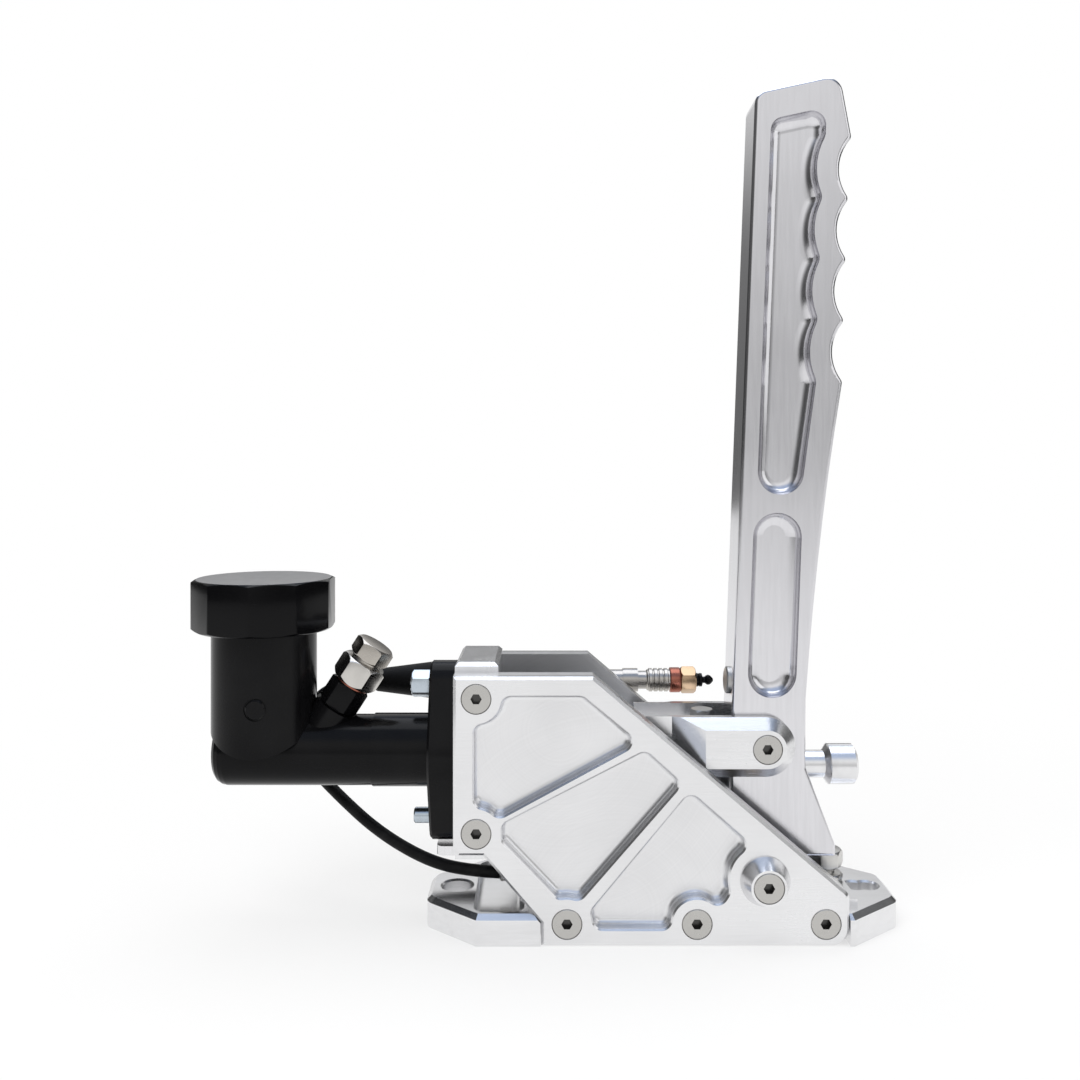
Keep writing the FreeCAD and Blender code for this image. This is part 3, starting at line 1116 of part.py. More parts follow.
def fork_pin_screw():
    """The near one of two countersunk screws in the pin's ends."""
    screw = countersunk_screw(SCREW_LENGTH / 2, SCREW_HEAD_RADIUS, SCREW_SHANK_RADIUS,
                              SCREW_SOCKET_FLATS, SCREW_SOCKET_DEPTH)
    return aimed(screw, (FORK_PIN_X, -FORK_WIDTH / 2, FORK_PIN_Z), (0, 1, 0))


def fork_lock_bolt():
    """The hexagon bolt that locks the pushrod, upright in the cross wall."""
    head = aimed(hexagon_bar(FORK_BOLT_FLATS, FORK_BOLT_HEAD, 0.9), (FORK_BOLT_X, 0, FORK_BRIDGE_TOP_Z), (0, 0, 1))
    shank = rod(2.5, (FORK_BOLT_X, 0, FORK_BRIDGE_TOP_Z - 14), (FORK_BOLT_X, 0, FORK_BRIDGE_TOP_Z + 1))
    return head.fuse(shank)


# Adjuster and stop
def adjuster():
    """The adjuster: a screw through the lever with a neck and a round knob."""
    profile = [(ADJUSTER_TIP_X, ADJUSTER_SHANK_RADIUS - 0.8), (ADJUSTER_TIP_X + 0.8, ADJUSTER_SHANK_RADIUS),
               (ADJUSTER_NECK_X, ADJUSTER_SHANK_RADIUS), (ADJUSTER_NECK_X, ADJUSTER_NECK_RADIUS),
               (ADJUSTER_KNOB_X - 1.6, ADJUSTER_NECK_RADIUS), (ADJUSTER_KNOB_X, ADJUSTER_KNOB_RADIUS - 0.5),
               (ADJUSTER_KNOB_X + 0.5, ADJUSTER_KNOB_RADIUS), (ADJUSTER_END_X - 1.2, ADJUSTER_KNOB_RADIUS),
               (ADJUSTER_END_X, ADJUSTER_KNOB_RADIUS - 1.6)]
    knob = turned(profile, (0, 0, ADJUSTER_Z), (1, 0, 0))
    socket = aimed(hexagon_bar(5.0, 5.0), (ADJUSTER_END_X, 0, ADJUSTER_Z), (-1, 0, 0))
    return knob.cut(socket)


def stop_bolt():
    """The bolt in the base that the heel rests on."""
    head = aimed(hexagon_bar(STOP_HEAD_FLATS, STOP_TOP_Z - STOP_HEAD_Z, 1.2), (STOP_X, 0, STOP_HEAD_Z), (0, 0, 1))
    return head.fuse(rod(STOP_SHANK_RADIUS, (STOP_X, 0, 3), (STOP_X, 0, STOP_HEAD_Z + 1)))


def stop_nut():
    """The nut that locks the stop bolt on the base."""
    nut = hexagon_bar(STOP_HEAD_FLATS, 3.6, 1.0).cut(rod(STOP_SHANK_RADIUS, (0, 0, -1), (0, 0, 9)))
    return aimed(nut, (STOP_X, 0, BASE_THICKNESS), (0, 0, 1))


# Line along the far side
def on_line(profile):
    """A turned piece on the far-side line's axis, from (x, radius) pairs."""
    return turned(profile, (0, LINE_Y, LINE_Z), (1, 0, 0))


def line_boot():
    """The black tapered boot at the line's front end."""
    start, end = LINE_BOOT_X
    slim, wide = LINE_BOOT_RADII
    shape = on_line([(start, slim - 0.6), (start + 0.8, slim), (end - 6, wide), (end, wide)])
    return shape.cut(rod(LINE_TUBE_RADIUS, (end - 14, LINE_Y, LINE_Z), (end + 1, LINE_Y, LINE_Z)))


def line_tube():
    """The tube, with a collar before the union."""
    start = LINE_BOOT_X[1] - 13.8
    end = LINE_UNION_X[0]
    return on_line([(start, LINE_TUBE_RADIUS), (end - 11, LINE_TUBE_RADIUS), (end - 11, LINE_TUBE_RADIUS + 0.6),
                    (end - 4, LINE_TUBE_RADIUS + 0.6), (end - 4, LINE_TUBE_RADIUS - 0.6), (end, LINE_TUBE_RADIUS - 0.6)])


def line_union():
    """The steel hexagon union on the tube."""
    start, end = LINE_UNION_X
    hexagon = aimed(hexagon_bar(10.2, end - start, 0.8), (start, LINE_Y, LINE_Z), (1, 0, 0))
    spigot = rod(3.0, (end - 1, LINE_Y, LINE_Z), (LINE_RING_END_X + 4, LINE_Y, LINE_Z))
    return hexagon.fuse(spigot)


def line_ring():
    """The copper ring between the union and the nut."""
    start, end = LINE_UNION_X[1], LINE_RING_END_X
    ring = on_line([(start, 5.2), (start + 0.8, 5.8), (end - 0.8, 5.8), (end, 5.2)])
    return ring.cut(rod(3.0, (start - 1, LINE_Y, LINE_Z), (end + 1, LINE_Y, LINE_Z)))


def line_nut():
    """The brass nut."""
    length = LINE_NUT_END_X - LINE_RING_END_X
    nut = aimed(hexagon_bar(11.0, length, 0.9), (LINE_RING_END_X, LINE_Y, LINE_Z), (1, 0, 0))
    nut = nut.cut(rod(3.0, (LINE_RING_END_X - 1, LINE_Y, LINE_Z), (LINE_RING_END_X + 4, LINE_Y, LINE_Z)))
    return nut.cut(rod(2.0, (LINE_NUT_END_X - 2.5, LINE_Y, LINE_Z), (LINE_NUT_END_X + 1, LINE_Y, LINE_Z)))


def line_cap():
    """The black cap with its ball end."""
    return on_line([(LINE_NUT_END_X - 2.3, 2.0), (LINE_NUT_END_X, 2.0), (LINE_NUT_END_X, 3.1),
                    (LINE_TIP_END_X - 0.6, 3.1), (LINE_TIP_END_X, 1.5), (LINE_BALL_X - 1.8, 1.5),
                    (LINE_BALL_X - 0.6, 2.2), (LINE_BALL_X + 0.6, 2.35), (LINE_BALL_X + 1.7, 1.7),
                    (LINE_BALL_X + 2.2, 0.7)])


def line_clip(x):
    """A saddle clip that holds the tube off the far plate's pocket floor."""
    seat_y = PLATE_OUTER_Y - POCKET_DEPTH
    low, high = x - CLIP_WIDTH / 2, x + CLIP_WIDTH / 2
    ring = rod(CLIP_RADIUS, (low, LINE_Y, LINE_Z), (high, LINE_Y, LINE_Z))
    web = box((low, high), (seat_y, LINE_Y), (LINE_Z - CLIP_RADIUS + 1, LINE_Z + CLIP_WEB_RISE))
    leg = box((low, high), (seat_y, seat_y + CLIP_LEG_THICKNESS), (CLIP_SCREW_Z - CLIP_LEG_DROP, LINE_Z))
    shape = ring.fuse([web, leg]).removeSplitter()
    shape = shape.cut(rod(LINE_TUBE_RADIUS, (low - 1, LINE_Y, LINE_Z), (high + 1, LINE_Y, LINE_Z)))
    hole = CLIP_SCREW_RADIUS + 2 * RUNNING_FIT
    return shape.cut(rod(hole, (x, seat_y - 1, CLIP_SCREW_Z), (x, seat_y + CLIP_LEG_THICKNESS + 1, CLIP_SCREW_Z)))


def clip_screw(x):
    """The pan-head screw of one clip."""
    face = PLATE_OUTER_Y - POCKET_DEPTH + CLIP_LEG_THICKNESS
    shank = rod(CLIP_SCREW_RADIUS, (x, face + 0.5, CLIP_SCREW_Z), (x, face - 8, CLIP_SCREW_Z))
    head = turned([(0, 3.6), (1.4, 3.6), (2.2, 2.6)], (x, face, CLIP_SCREW_Z), (0, 1, 0))
    socket = aimed(hexagon_bar(2.5, 1.2), (x, face + 2.2, CLIP_SCREW_Z), (0, -1, 0))
    return head.fuse(shank).cut(socket)


def far_plate():
    """The far side plate: the near one mirrored, tapped for the clips."""
    plate = mirrored(side_plate())
    for x in CLIP_PLACES_X:
        plate = plate.cut(rod(CLIP_SCREW_RADIUS + RUNNING_FIT, (x, PLATE_INNER_Y - 1, CLIP_SCREW_Z),
                              (x, PLATE_OUTER_Y, CLIP_SCREW_Z)))
    return plate


# Hose
def hose():
    """The hose: straight runs joined by tangent arcs."""
    points = [V(*point) for point in HOSE_POINTS]
    edges = []
    start = points[0]
    for before, corner, after in zip(points, points[1:], points[2:]):
        first, second = corner - before, after - corner
        turn = first.getAngle(second)
        setback = HOSE_ARC_SHARE * min(first.Length, second.Length)
        radius = setback / math.tan(turn / 2)
        print("hose arc radius", round(radius, 1))
        arc_start = corner - first.normalize() * setback
        arc_end = corner + second.normalize() * setback
        inward = (arc_start + arc_end) * 0.5 - corner
        depth = radius / math.cos(turn / 2) - radius
        middle = corner + inward.normalize() * depth
        edges.append(line(start, arc_start))
        edges.append(Part.Arc(arc_start, middle, arc_end).toShape())
        start = arc_end
    edges.append(line(start, points[-1]))
    path = Part.Wire(edges)
    section = Part.Wire(Part.makeCircle(HOSE_RADIUS, points[0], points[1] - points[0]))
    shape = path.makePipeShell([section], True, False)
    straight = math.pi * HOSE_RADIUS ** 2 * path.Length
    print("hose length", round(path.Length, 1), "volume share", round(shape.Volume / straight, 4))
    return shape


def hose_ferrule():
    """The metal ferrule on the hose's end, into the union."""
    x, y, z = HOSE_POINTS[-1]
    return turned([(0, FERRULE_RADIUS - 0.5), (0.5, FERRULE_RADIUS), (FERRULE_LENGTH - 2, FERRULE_RADIUS),
                   (FERRULE_LENGTH - 2, HOSE_RADIUS), (FERRULE_LENGTH + 4, HOSE_RADIUS)], (x, y, z), (1, 0, 0))


def hose_union():
    """The union block on the base that takes the ferrule."""
    x, y, z = HOSE_POINTS[-1]
    start = x + FERRULE_LENGTH - 2
    block = box((start, start + UNION_LENGTH), (-UNION_HALF_WIDTH, UNION_HALF_WIDTH), (BASE_THICKNESS, UNION_TOP_Z))
    block = block.makeFillet(2.0, edges_in_plane(block, Z_AXIS, UNION_TOP_Z))
    return block.cut(rod(HOSE_RADIUS, (start - 1, y, z), (start + 6, y, z)))


def pieces():
    """Every node's name and its solids."""
    near_screws = [aimed(frame_screw(), (x, -PLATE_OUTER_Y, z), (0, 1, 0)) for x, z in FRAME_SCREW_PLACES]
    primary, secondary = seal_stations()
    return {
        "side_plate_near": [side_plate()],
        "side_plate_far": [far_plate()],
        "base_plate": [base_plate()],
        "front_block": [front_block()],
        "frame_screws": near_screws + [mirrored(screw) for screw in near_screws],
        "lever": [lever()],
        "contact_disc": [contact_disc()],
        "pivot_shaft": [pivot_shaft()],
        "pivot_bushes": [pivot_bush(), mirrored(pivot_bush())],
        "pivot_spacers": [pivot_spacer(), mirrored(pivot_spacer())],
        "pivot_collars": [pivot_collar(), mirrored(pivot_collar())],
        "pivot_screws": [pivot_screw(), mirrored(pivot_screw())],
        "fork": [fork()],
        "fork_pin": [fork_pin()],
        "fork_bush": [fork_bush()],
        "fork_pin_screws": [fork_pin_screw(), mirrored(fork_pin_screw())],
        "fork_lock_bolt": [fork_lock_bolt()],
        "pushrod": [pushrod()],
        "pushrod_locknut": [pushrod_locknut()],
        "adjuster": [adjuster()],
        "stop_bolt": [stop_bolt()],
        "stop_nut": [stop_nut()],
        "cylinder_body": [cylinder_body()],
        "reservoir_cap": [reservoir_cap()],
        "reservoir_plug": [reservoir_plug()],
        "diaphragm": [diaphragm()],
        "flange_studs": flange_studs(),
        "flange_nut": [flange_nut()],
        "outlet_washer": [outlet_washer()],
        "outlet_adaptor": [outlet_adaptor()],
        "outlet_nut": [outlet_nut()],
        "outlet_plug": [outlet_plug()],
        "piston": [piston()],
        "primary_seal": [seal(primary)],
        "secondary_seal": [seal(secondary)],
        "return_spring": [return_spring()],
        "valve_stem": [valve_stem()],
        "valve_seal": [valve_seal()],
        "retaining_washer": [retaining_washer()],
        "retaining_ring": [retaining_ring()],
        "dust_boot": [dust_boot()],
        "line_boot": [line_boot()],
        "line_tube": [line_tube()],
        "line_union": [line_union()],
        "line_ring": [line_ring()],
        "line_nut": [line_nut()],
        "line_cap": [line_cap()],
        "line_clips": [line_clip(x) for x in CLIP_PLACES_X],
        "clip_screws": [clip_screw(x) for x in CLIP_PLACES_X],
        "hose": [hose()],
        "hose_ferrule": [hose_ferrule()],
        "hose_union": [hose_union()],
    }


def main():
    os.makedirs("parts", exist_ok=True)
    for name, solids in pieces().items():
        shape = solids[0] if len(solids) == 1 else Part.makeCompound(solids)
        shape.exportStep(f"parts/{name}.step")
        print(name, len(shape.Solids), "solids", "valid" if shape.isValid() else "NOT VALID", round(shape.Volume, 1))


main()
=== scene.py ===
"""The looks of an upright hydraulic handbrake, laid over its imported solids.

Metres. X runs from the master cylinder to the lever, Y is across the frame and Z is up.
"""

import bmesh
import bpy
import math
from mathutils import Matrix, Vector


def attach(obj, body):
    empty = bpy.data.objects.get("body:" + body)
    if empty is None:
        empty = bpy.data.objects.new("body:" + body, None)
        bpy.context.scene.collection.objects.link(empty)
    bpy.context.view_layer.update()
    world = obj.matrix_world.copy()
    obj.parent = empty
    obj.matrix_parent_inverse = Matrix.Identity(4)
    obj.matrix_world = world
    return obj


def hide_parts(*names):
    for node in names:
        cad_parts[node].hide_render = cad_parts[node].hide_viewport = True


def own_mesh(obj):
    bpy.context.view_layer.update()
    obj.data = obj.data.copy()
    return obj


bl_info = {
    "name": "Upright handbrake",
    "version": (1, 0, 0),
    "blender": (4, 5, 0),
    "location": "3D View > Sidebar > Handbrake",
    "description": "Dresses the packed handbrake and sets it on a pale stage",
    "category": "Object",
}

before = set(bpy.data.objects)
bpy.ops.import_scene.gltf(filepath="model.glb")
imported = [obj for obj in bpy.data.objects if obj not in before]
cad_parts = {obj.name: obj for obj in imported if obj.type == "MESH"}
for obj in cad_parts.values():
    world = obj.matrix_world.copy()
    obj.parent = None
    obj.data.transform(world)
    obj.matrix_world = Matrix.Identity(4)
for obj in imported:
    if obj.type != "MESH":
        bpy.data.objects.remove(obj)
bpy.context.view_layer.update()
MM = 0.001

# Directions: towards the lever and towards the cylinder
UP = (0, 0, 1)
FORWARD = (1, 0, 0)
BACKWARD = (-1, 0, 0)

# Tool lines per metre along X, Y and Z, on pieces turned along X or Y and on the side line's fittings
RINGS_X = (1800, 40, 40)
RINGS_Y = (40, 1800, 40)
RINGS_LINE = (1200, 40, 40)

# Specular level of everything black, and the angles past which an edge is shaded sharp or bevelled
BLACK_GLOSS = 0.12
SMOOTH_ANGLE = math.radians(32.0)
BEVEL_ANGLE = math.radians(22.0)

# Metres, where a finish changes: just outside the pocket floors and just under the cap's top, above which
# the lid gets a painted reflection
POCKET_FLOOR_Y = 0.0268
LID_Z = 0.14595


class Value:
    """A shader socket that Python arithmetic works on."""

    def __init__(self, nodes, socket):
        self.nodes = nodes
        self.socket = socket

    def maths(self, operation, first, second=None):
        inputs = {0: first} if second is None else {0: first, 1: second}
        return self.nodes.node("ShaderNodeMath", {"operation": operation}, inputs)

    def __add__(self, other):
        return self.maths("ADD", self, other)

    def __radd__(self, other):
        return self.maths("ADD", other, self)

    def __sub__(self, other):
        return self.maths("SUBTRACT", self, other)

    def __rsub__(self, other):
        return self.maths("SUBTRACT", other, self)

    def __mul__(self, other):
        return self.maths("MULTIPLY", self, other)

    def __rmul__(self, other):
        return self.maths("MULTIPLY", other, self)

    def absolute(self):
        return self.maths("ABSOLUTE", self)

    def larger(self, other):
        return self.maths("MAXIMUM", self, other)

    def above(self, level):
        return self.maths("GREATER_THAN", self, level)

    def between(self, low, high, start=0.0, end=1.0):
        """A smooth step from start at low to end at high."""
        inputs = {"Value": self, "From Min": low, "From Max": high, "To Min": start, "To Max": end}
        return self.nodes.node("ShaderNodeMapRange", {"interpolation_type": "SMOOTHSTEP"}, inputs)


class Nodes:
    """A node tree and the few calls that fill it."""

    def __init__(self, tree):
        self.tree = tree

    def feed(self, socket, value):
        """Sets or links one socket."""
        if isinstance(value, Value):
            self.tree.links.new(value.socket, socket)
        elif isinstance(value, tuple) and len(value) == 3 and socket.type == "RGBA":
            socket.default_value = (*value, 1.0)
        else:
            socket.default_value = value

    def node(self, kind, settings=None, inputs=None, output=0):
        """Any node: its settings first, then the values or links of its sockets."""
        made = self.tree.nodes.new(kind)
        for key, value in (settings or {}).items():
            setattr(made, key, value)
        for key, value in (inputs or {}).items():
            self.feed(made.inputs[key], value)
        return Value(self, made.outputs[output])

    def blend(self, mask, low, high):
        """One colour where the mask is 0 and another where it is 1."""
        return self.node("ShaderNodeMix", {"data_type": "RGBA"}, {0: mask, 6: low, 7: high}, output=2)

    def rays(self, *kinds):
        """1 on rays of each kind and 0 on others."""
        return [self.node("ShaderNodeLightPath", output=f"Is {kind} Ray") for kind in kinds]


class Finish(Nodes):
    """A procedural material."""

    def __init__(self, name, colour, roughness, metallic=0.0, specular=0.5):
        self.material = bpy.data.materials.new(name)
        self.material.use_nodes = True
        super().__init__(self.material.node_tree)
        self.shader = self.tree.nodes["Principled BSDF"]
        self.put("Base Color", colour)
        self.put("Roughness", roughness)
        self.put("Metallic", metallic)
        self.put("Specular IOR Level", specular)

    def put(self, name, value):
        """Sets or links one socket of the shader."""
        self.feed(self.shader.inputs[name], value)

    def place(self, scale=(1, 1, 1), shift=(0, 0, 0)):
        """Object coordinates, stretched and moved."""
        here = self.node("ShaderNodeTexCoord", output="Object")
        return self.node("ShaderNodeMapping", None, {"Vector": here, "Scale": scale, "Location": shift})

    def noise(self, vector, scale, detail=3.0, roughness=0.5):
        """Cloudy noise, in patches per metre."""
        inputs = {"Vector": vector, "Scale": scale, "Detail": detail, "Roughness": roughness}
        return self.node("ShaderNodeTexNoise", None, inputs)

    def rings(self, centre, per_metre):
        """Fine rings in the side view, round a centre in millimetres."""
        x, z = centre
        flat = self.place(scale=(1, 0, 1), shift=(-x * MM, 0, -z * MM))
        reach = self.node("ShaderNodeVectorMath", {"operation": "LENGTH"}, {0: flat}, output=1)
        return self.node("ShaderNodeTexNoise", {"noise_dimensions": "1D"},
                         {"W": reach * per_metre, "Scale": 1.0, "Detail": 3.0})

    def along(self, axis):
        """One of the object coordinates, by its letter."""
        here = self.node("ShaderNodeTexCoord", output="Object")
        return self.node("ShaderNodeSeparateXYZ", None, {"Vector": here}, output=axis)

    def relief(self, height, distance):
        """Feeds a bump of that height in metres to the shader."""
        self.put("Normal", self.node("ShaderNodeBump", None, {"Height": height, "Distance": distance}))


def shaded(colour, share):
    """A colour darkened to a share of itself."""
    return tuple(part * share for part in colour)


def milled(name, colour, grain, roughness=0.26, depth=0.000005):
    """Machined aluminium: fine tool lines along one direction over faint cloudy patches."""
    finish = Finish(name, colour, roughness, 1.0)
    lines = finish.noise(finish.place(scale=grain), 1.0, 4.0, 0.6)
    clouds = finish.noise(finish.place(), 30.0, 3.0)
    mask = lines * 0.5 + clouds * 0.5
    finish.put("Base Color", finish.blend(mask.between(0.3, 0.7), shaded(colour, 0.9), colour))
    finish.put("Roughness", lines * 0.08 + clouds * 0.1 + (roughness - 0.09))
    finish.relief(lines, depth)
    return finish.material


def pocketed(name, colour):
    """The side plates: fine straight lines on the faces, and sweeping cutter marks on the pocket floors."""
    finish = Finish(name, colour, 0.26, 1.0)
    lines = finish.noise(finish.place(scale=(50, 900, 1400)), 1.0, 4.0, 0.6)
    sweeps = (finish.rings((-44, 86), 1100.0) + finish.rings((-20, 12), 900.0)) * 0.5
    clouds = finish.noise(finish.place(), 24.0, 3.0)
    floor = 1 - finish.along("Y").absolute().above(POCKET_FLOOR_Y)
    marks = lines * (1 - floor) + sweeps * floor
    mask = marks * 0.3 + clouds * 0.7
    finish.put("Base Color", finish.blend(mask.between(0.3, 0.7), shaded(colour, 0.9), colour))
    finish.put("Roughness", marks * 0.05 + clouds * 0.1 + floor * 0.06 + 0.18)
    finish.relief(marks, 0.000004)
    return finish.material


def satin(name, colour, roughness=0.42):
    """Tumbled metal: an even satin with soft stains."""
    finish = Finish(name, colour, roughness, 1.0)
    stains = finish.noise(finish.place(), 90.0, 4.0, 0.6)
    finish.put("Base Color", finish.blend(stains.between(0.35, 0.7), colour, shaded(colour, 0.9)))
    finish.put("Roughness", stains * 0.16 + (roughness - 0.08))
    return finish.material


def turned_metal(name, colour, rings_along, roughness=0.24):
    """Turned metal: fine rings round the piece's axis."""
    finish = Finish(name, colour, roughness, 1.0)
    rings = finish.noise(finish.place(scale=rings_along), 1.0, 3.0)
    marks = finish.noise(finish.place(), 60.0, 3.0)
    finish.put("Base Color", finish.blend(marks.between(0.4, 0.75), colour, shaded(colour, 0.86)))
    finish.put("Roughness", rings * 0.12 + marks * 0.1 + (roughness - 0.11))
    finish.relief(rings, 0.000008)
    return finish.material


def gloss_black(name, colour, roughness=0.2):
    """Black anodising or moulding with a soft gloss and a trace of handling marks."""
    finish = Finish(name, colour, roughness, specular=BLACK_GLOSS)
    smears = finish.noise(finish.place(), 22.0, 3.0, 0.5)
    lighter = tuple(part + 0.004 for part in colour)
    finish.put("Base Color", finish.blend(smears.between(0.4, 0.75), colour, lighter))
    finish.put("Roughness", smears * 0.14 + (roughness - 0.07))
    return finish.material


def soft_rubber(name, colour, roughness=0.6):
    """Matt black rubber with a fine moulded skin."""
    finish = Finish(name, colour, roughness, specular=BLACK_GLOSS)
    skin = finish.noise(finish.place(), 1500.0, 3.0)
    dust = finish.noise(finish.place(), 70.0, 4.0, 0.6)
    lighter = tuple(part + 0.012 for part in colour)
    finish.put("Base Color", finish.blend(dust.between(0.45, 0.8), colour, lighter))
    finish.put("Roughness", dust * 0.25 + (roughness - 0.12))
    finish.relief(skin, 0.00001)
    return finish.material


def paint_nodes(material, *nodes):
    """Gives CAD nodes a finish in every slot they have."""
    for name in nodes:
        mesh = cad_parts[name].data
        if not mesh.materials:
            mesh.materials.append(material)
        for index in range(len(mesh.materials)):
            mesh.materials[index] = material


def spun(profile, steps=64):
    """A turned solid along +Z from (station, radius) pairs in millimetres, its ends closed."""
    mesh = bmesh.new()
    points = [mesh.verts.new((max(radius, 0.0) * MM, 0, station * MM)) for station, radius in profile]
    edges = [mesh.edges.new(pair) for pair in zip(points, points[1:])]
    bmesh.ops.spin(mesh, geom=points + edges, cent=(0, 0, 0), axis=UP, angle=2 * math.pi,
                   steps=steps, use_merge=True)
    bmesh.ops.remove_doubles(mesh, verts=mesh.verts, dist=1e-7)
    bmesh.ops.holes_fill(mesh, edges=[edge for edge in mesh.edges if edge.is_boundary], sides=0)
    bmesh.ops.recalc_face_normals(mesh, faces=mesh.faces)
    return mesh


def flattened(mesh, sides, flats, turn=0.0):
    """Flats cut on a turned solid, across `flats` millimetres."""
    for i in range(sides):
        angle = turn + 2 * math.pi * (i + 0.5) / sides
        normal = Vector((math.cos(angle), math.sin(angle), 0))
        cut = bmesh.ops.bisect_plane(mesh, geom=mesh.verts[:] + mesh.edges[:] + mesh.faces[:], dist=1e-7,
                                     plane_co=normal * flats * MM / 2, plane_no=normal, clear_outer=True)
        rim = [part for part in cut["geom_cut"] if isinstance(part, bmesh.types.BMEdge) and part.is_boundary]
        bmesh.ops.holes_fill(mesh, edges=rim, sides=0)
    bmesh.ops.recalc_face_normals(mesh, faces=mesh.faces)
    return mesh


def softened(mesh, width, segments=2):
    """Bevels every sharp edge, by a width in millimetres."""
    sharp = [edge for edge in mesh.edges if len(edge.link_faces) == 2
             and edge.calc_face_angle(0.0) > BEVEL_ANGLE]
    bmesh.ops.bevel(mesh, geom=sharp, offset=width * MM, offset_type="OFFSET", affect="EDGES",
                    segments=segments, profile=0.5, material=-1, clamp_overlap=True)
    return mesh


def aimed(mesh, origin, direction):
    """Turns a solid made along +Z towards a direction and moves it to a place in millimetres."""
    turn = Vector(UP).rotation_difference(Vector(direction)).to_matrix().to_4x4()
    turn.translation = Vector(origin) * MM
    bmesh.ops.transform(mesh, matrix=turn, verts=mesh.verts)
    return mesh


def joined(meshes):
    """Several solids as one mesh."""
    whole = meshes[0]
    for other in meshes[1:]:
        data = bpy.data.meshes.new("part")
        other.to_mesh(data)
        other.free()
        whole.from_mesh(data)
        bpy.data.meshes.remove(data)
    return whole


def piece(name, mesh, material, body, nodes):
    """A finished piece that rides on a body and stands for CAD nodes."""
    data = bpy.data.meshes.new(name)
    mesh.to_mesh(data)
    mesh.free()
    for face in data.polygons:
        face.use_smooth = True
    data.set_sharp_from_angle(angle=SMOOTH_ANGLE)
    data.materials.append(material)
    made = bpy.data.objects.new(name, data)
    bpy.context.scene.collection.objects.link(made)
    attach(made, body)
    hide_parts(*nodes)


class HandbrakeSizes(bpy.types.PropertyGroup):
    """Sizes that a user would change."""

    hose_diameter: bpy.props.FloatProperty(
        name="Hose diameter", description="Outside diameter of the hose",
        default=0.0052, min=0.003, max=0.012, unit="LENGTH")
    camera_distance: bpy.props.FloatProperty(
        name="Camera distance", description="Distance of the camera from the plane of symmetry",
        default=0.453, min=0.2, max=2.0, unit="LENGTH")
    camera_height: bpy.props.FloatProperty(
        name="Camera height", description="Height of the camera above the base's underside",
        default=0.1944, min=0.0, max=1.0, unit="LENGTH")


class HandbrakeColours(bpy.types.PropertyGroup):
    """Colours that a user would change."""

    aluminium: bpy.props.FloatVectorProperty(
        name="Aluminium", description="Colour of the machined frame and lever",
        default=(0.84, 0.84, 0.85), size=3, min=0, max=1, subtype="COLOR")
    plating: bpy.props.FloatVectorProperty(
        name="Plating", description="Colour of the plated nuts and screws",
        default=(0.66, 0.65, 0.63), size=3, min=0, max=1, subtype="COLOR")
    black: bpy.props.FloatVectorProperty(
        name="Black", description="Colour of the black cap, cylinder and fittings",
        default=(0.003, 0.003, 0.0035), size=3, min=0, max=1, subtype="COLOR")
    rubber: bpy.props.FloatVectorProperty(
        name="Rubber", description="Colour of the hose and the boots",
        default=(0.005, 0.005, 0.0055), size=3, min=0, max=1, subtype="COLOR")
    brass: bpy.props.FloatVectorProperty(
        name="Brass", description="Colour of the brass nut and bushes",
        default=(0.5, 0.35, 0.22), size=3, min=0, max=1, subtype="COLOR")
    copper: bpy.props.FloatVectorProperty(
        name="Copper", description="Colour of the copper rings",
        default=(0.36, 0.13, 0.09), size=3, min=0, max=1, subtype="COLOR")
    screws: bpy.props.FloatVectorProperty(
        name="Screws", description="Colour of the screw heads",
        default=(0.52, 0.51, 0.49), size=3, min=0, max=1, subtype="COLOR")
    backdrop: bpy.props.FloatVectorProperty(
        name="Backdrop", description="Colour of the floor and the background",
        default=(0.93, 0.93, 0.93), size=3, min=0, max=1, subtype="COLOR")


def colours():
    """The colours as plain tuples."""
    chosen = bpy.context.scene.handbrake_colours
    return {key: tuple(getattr(chosen, key)) for key in HandbrakeColours.__annotations__}


# Focal length in millimetres, shift as a share of the frame, and place along the frame in metres
CAMERA_LENS = 34.77
CAMERA_SHIFT = (-0.0046, -0.0685)
CAMERA_X = -0.0495


class HANDBRAKE_OT_camera(bpy.types.Operator):
    """Places the camera at the photograph's viewing angle"""

    bl_idname = "handbrake.camera"
    bl_label = "Camera"

    def execute(self, context):
        sizes = context.scene.handbrake_sizes
        data = bpy.data.cameras.new("camera")
        data.sensor_width = 36.0
        data.lens = CAMERA_LENS
        data.shift_x, data.shift_y = CAMERA_SHIFT
        camera = bpy.data.objects.new("camera", data)
        camera.location = (CAMERA_X, -sizes.camera_distance, sizes.camera_height)
        camera.rotation_euler = (math.pi / 2, 0, 0)
        context.scene.collection.objects.link(camera)
        context.scene.camera = camera
        return {"FINISHED"}


# From the boot's rear end round to the ferrule, in millimetres; the length along it is in metres
HOSE_POINTS = [(-128.9, 37, 94), (-149, 37, 93), (-162, 34, 78.5), (-161, 28, 60), (-144, 20, 46),
               (-124, 11, 32), (-102, 4.5, 21.8), (-84, 1, 18.4), (-69, 0, 18)]


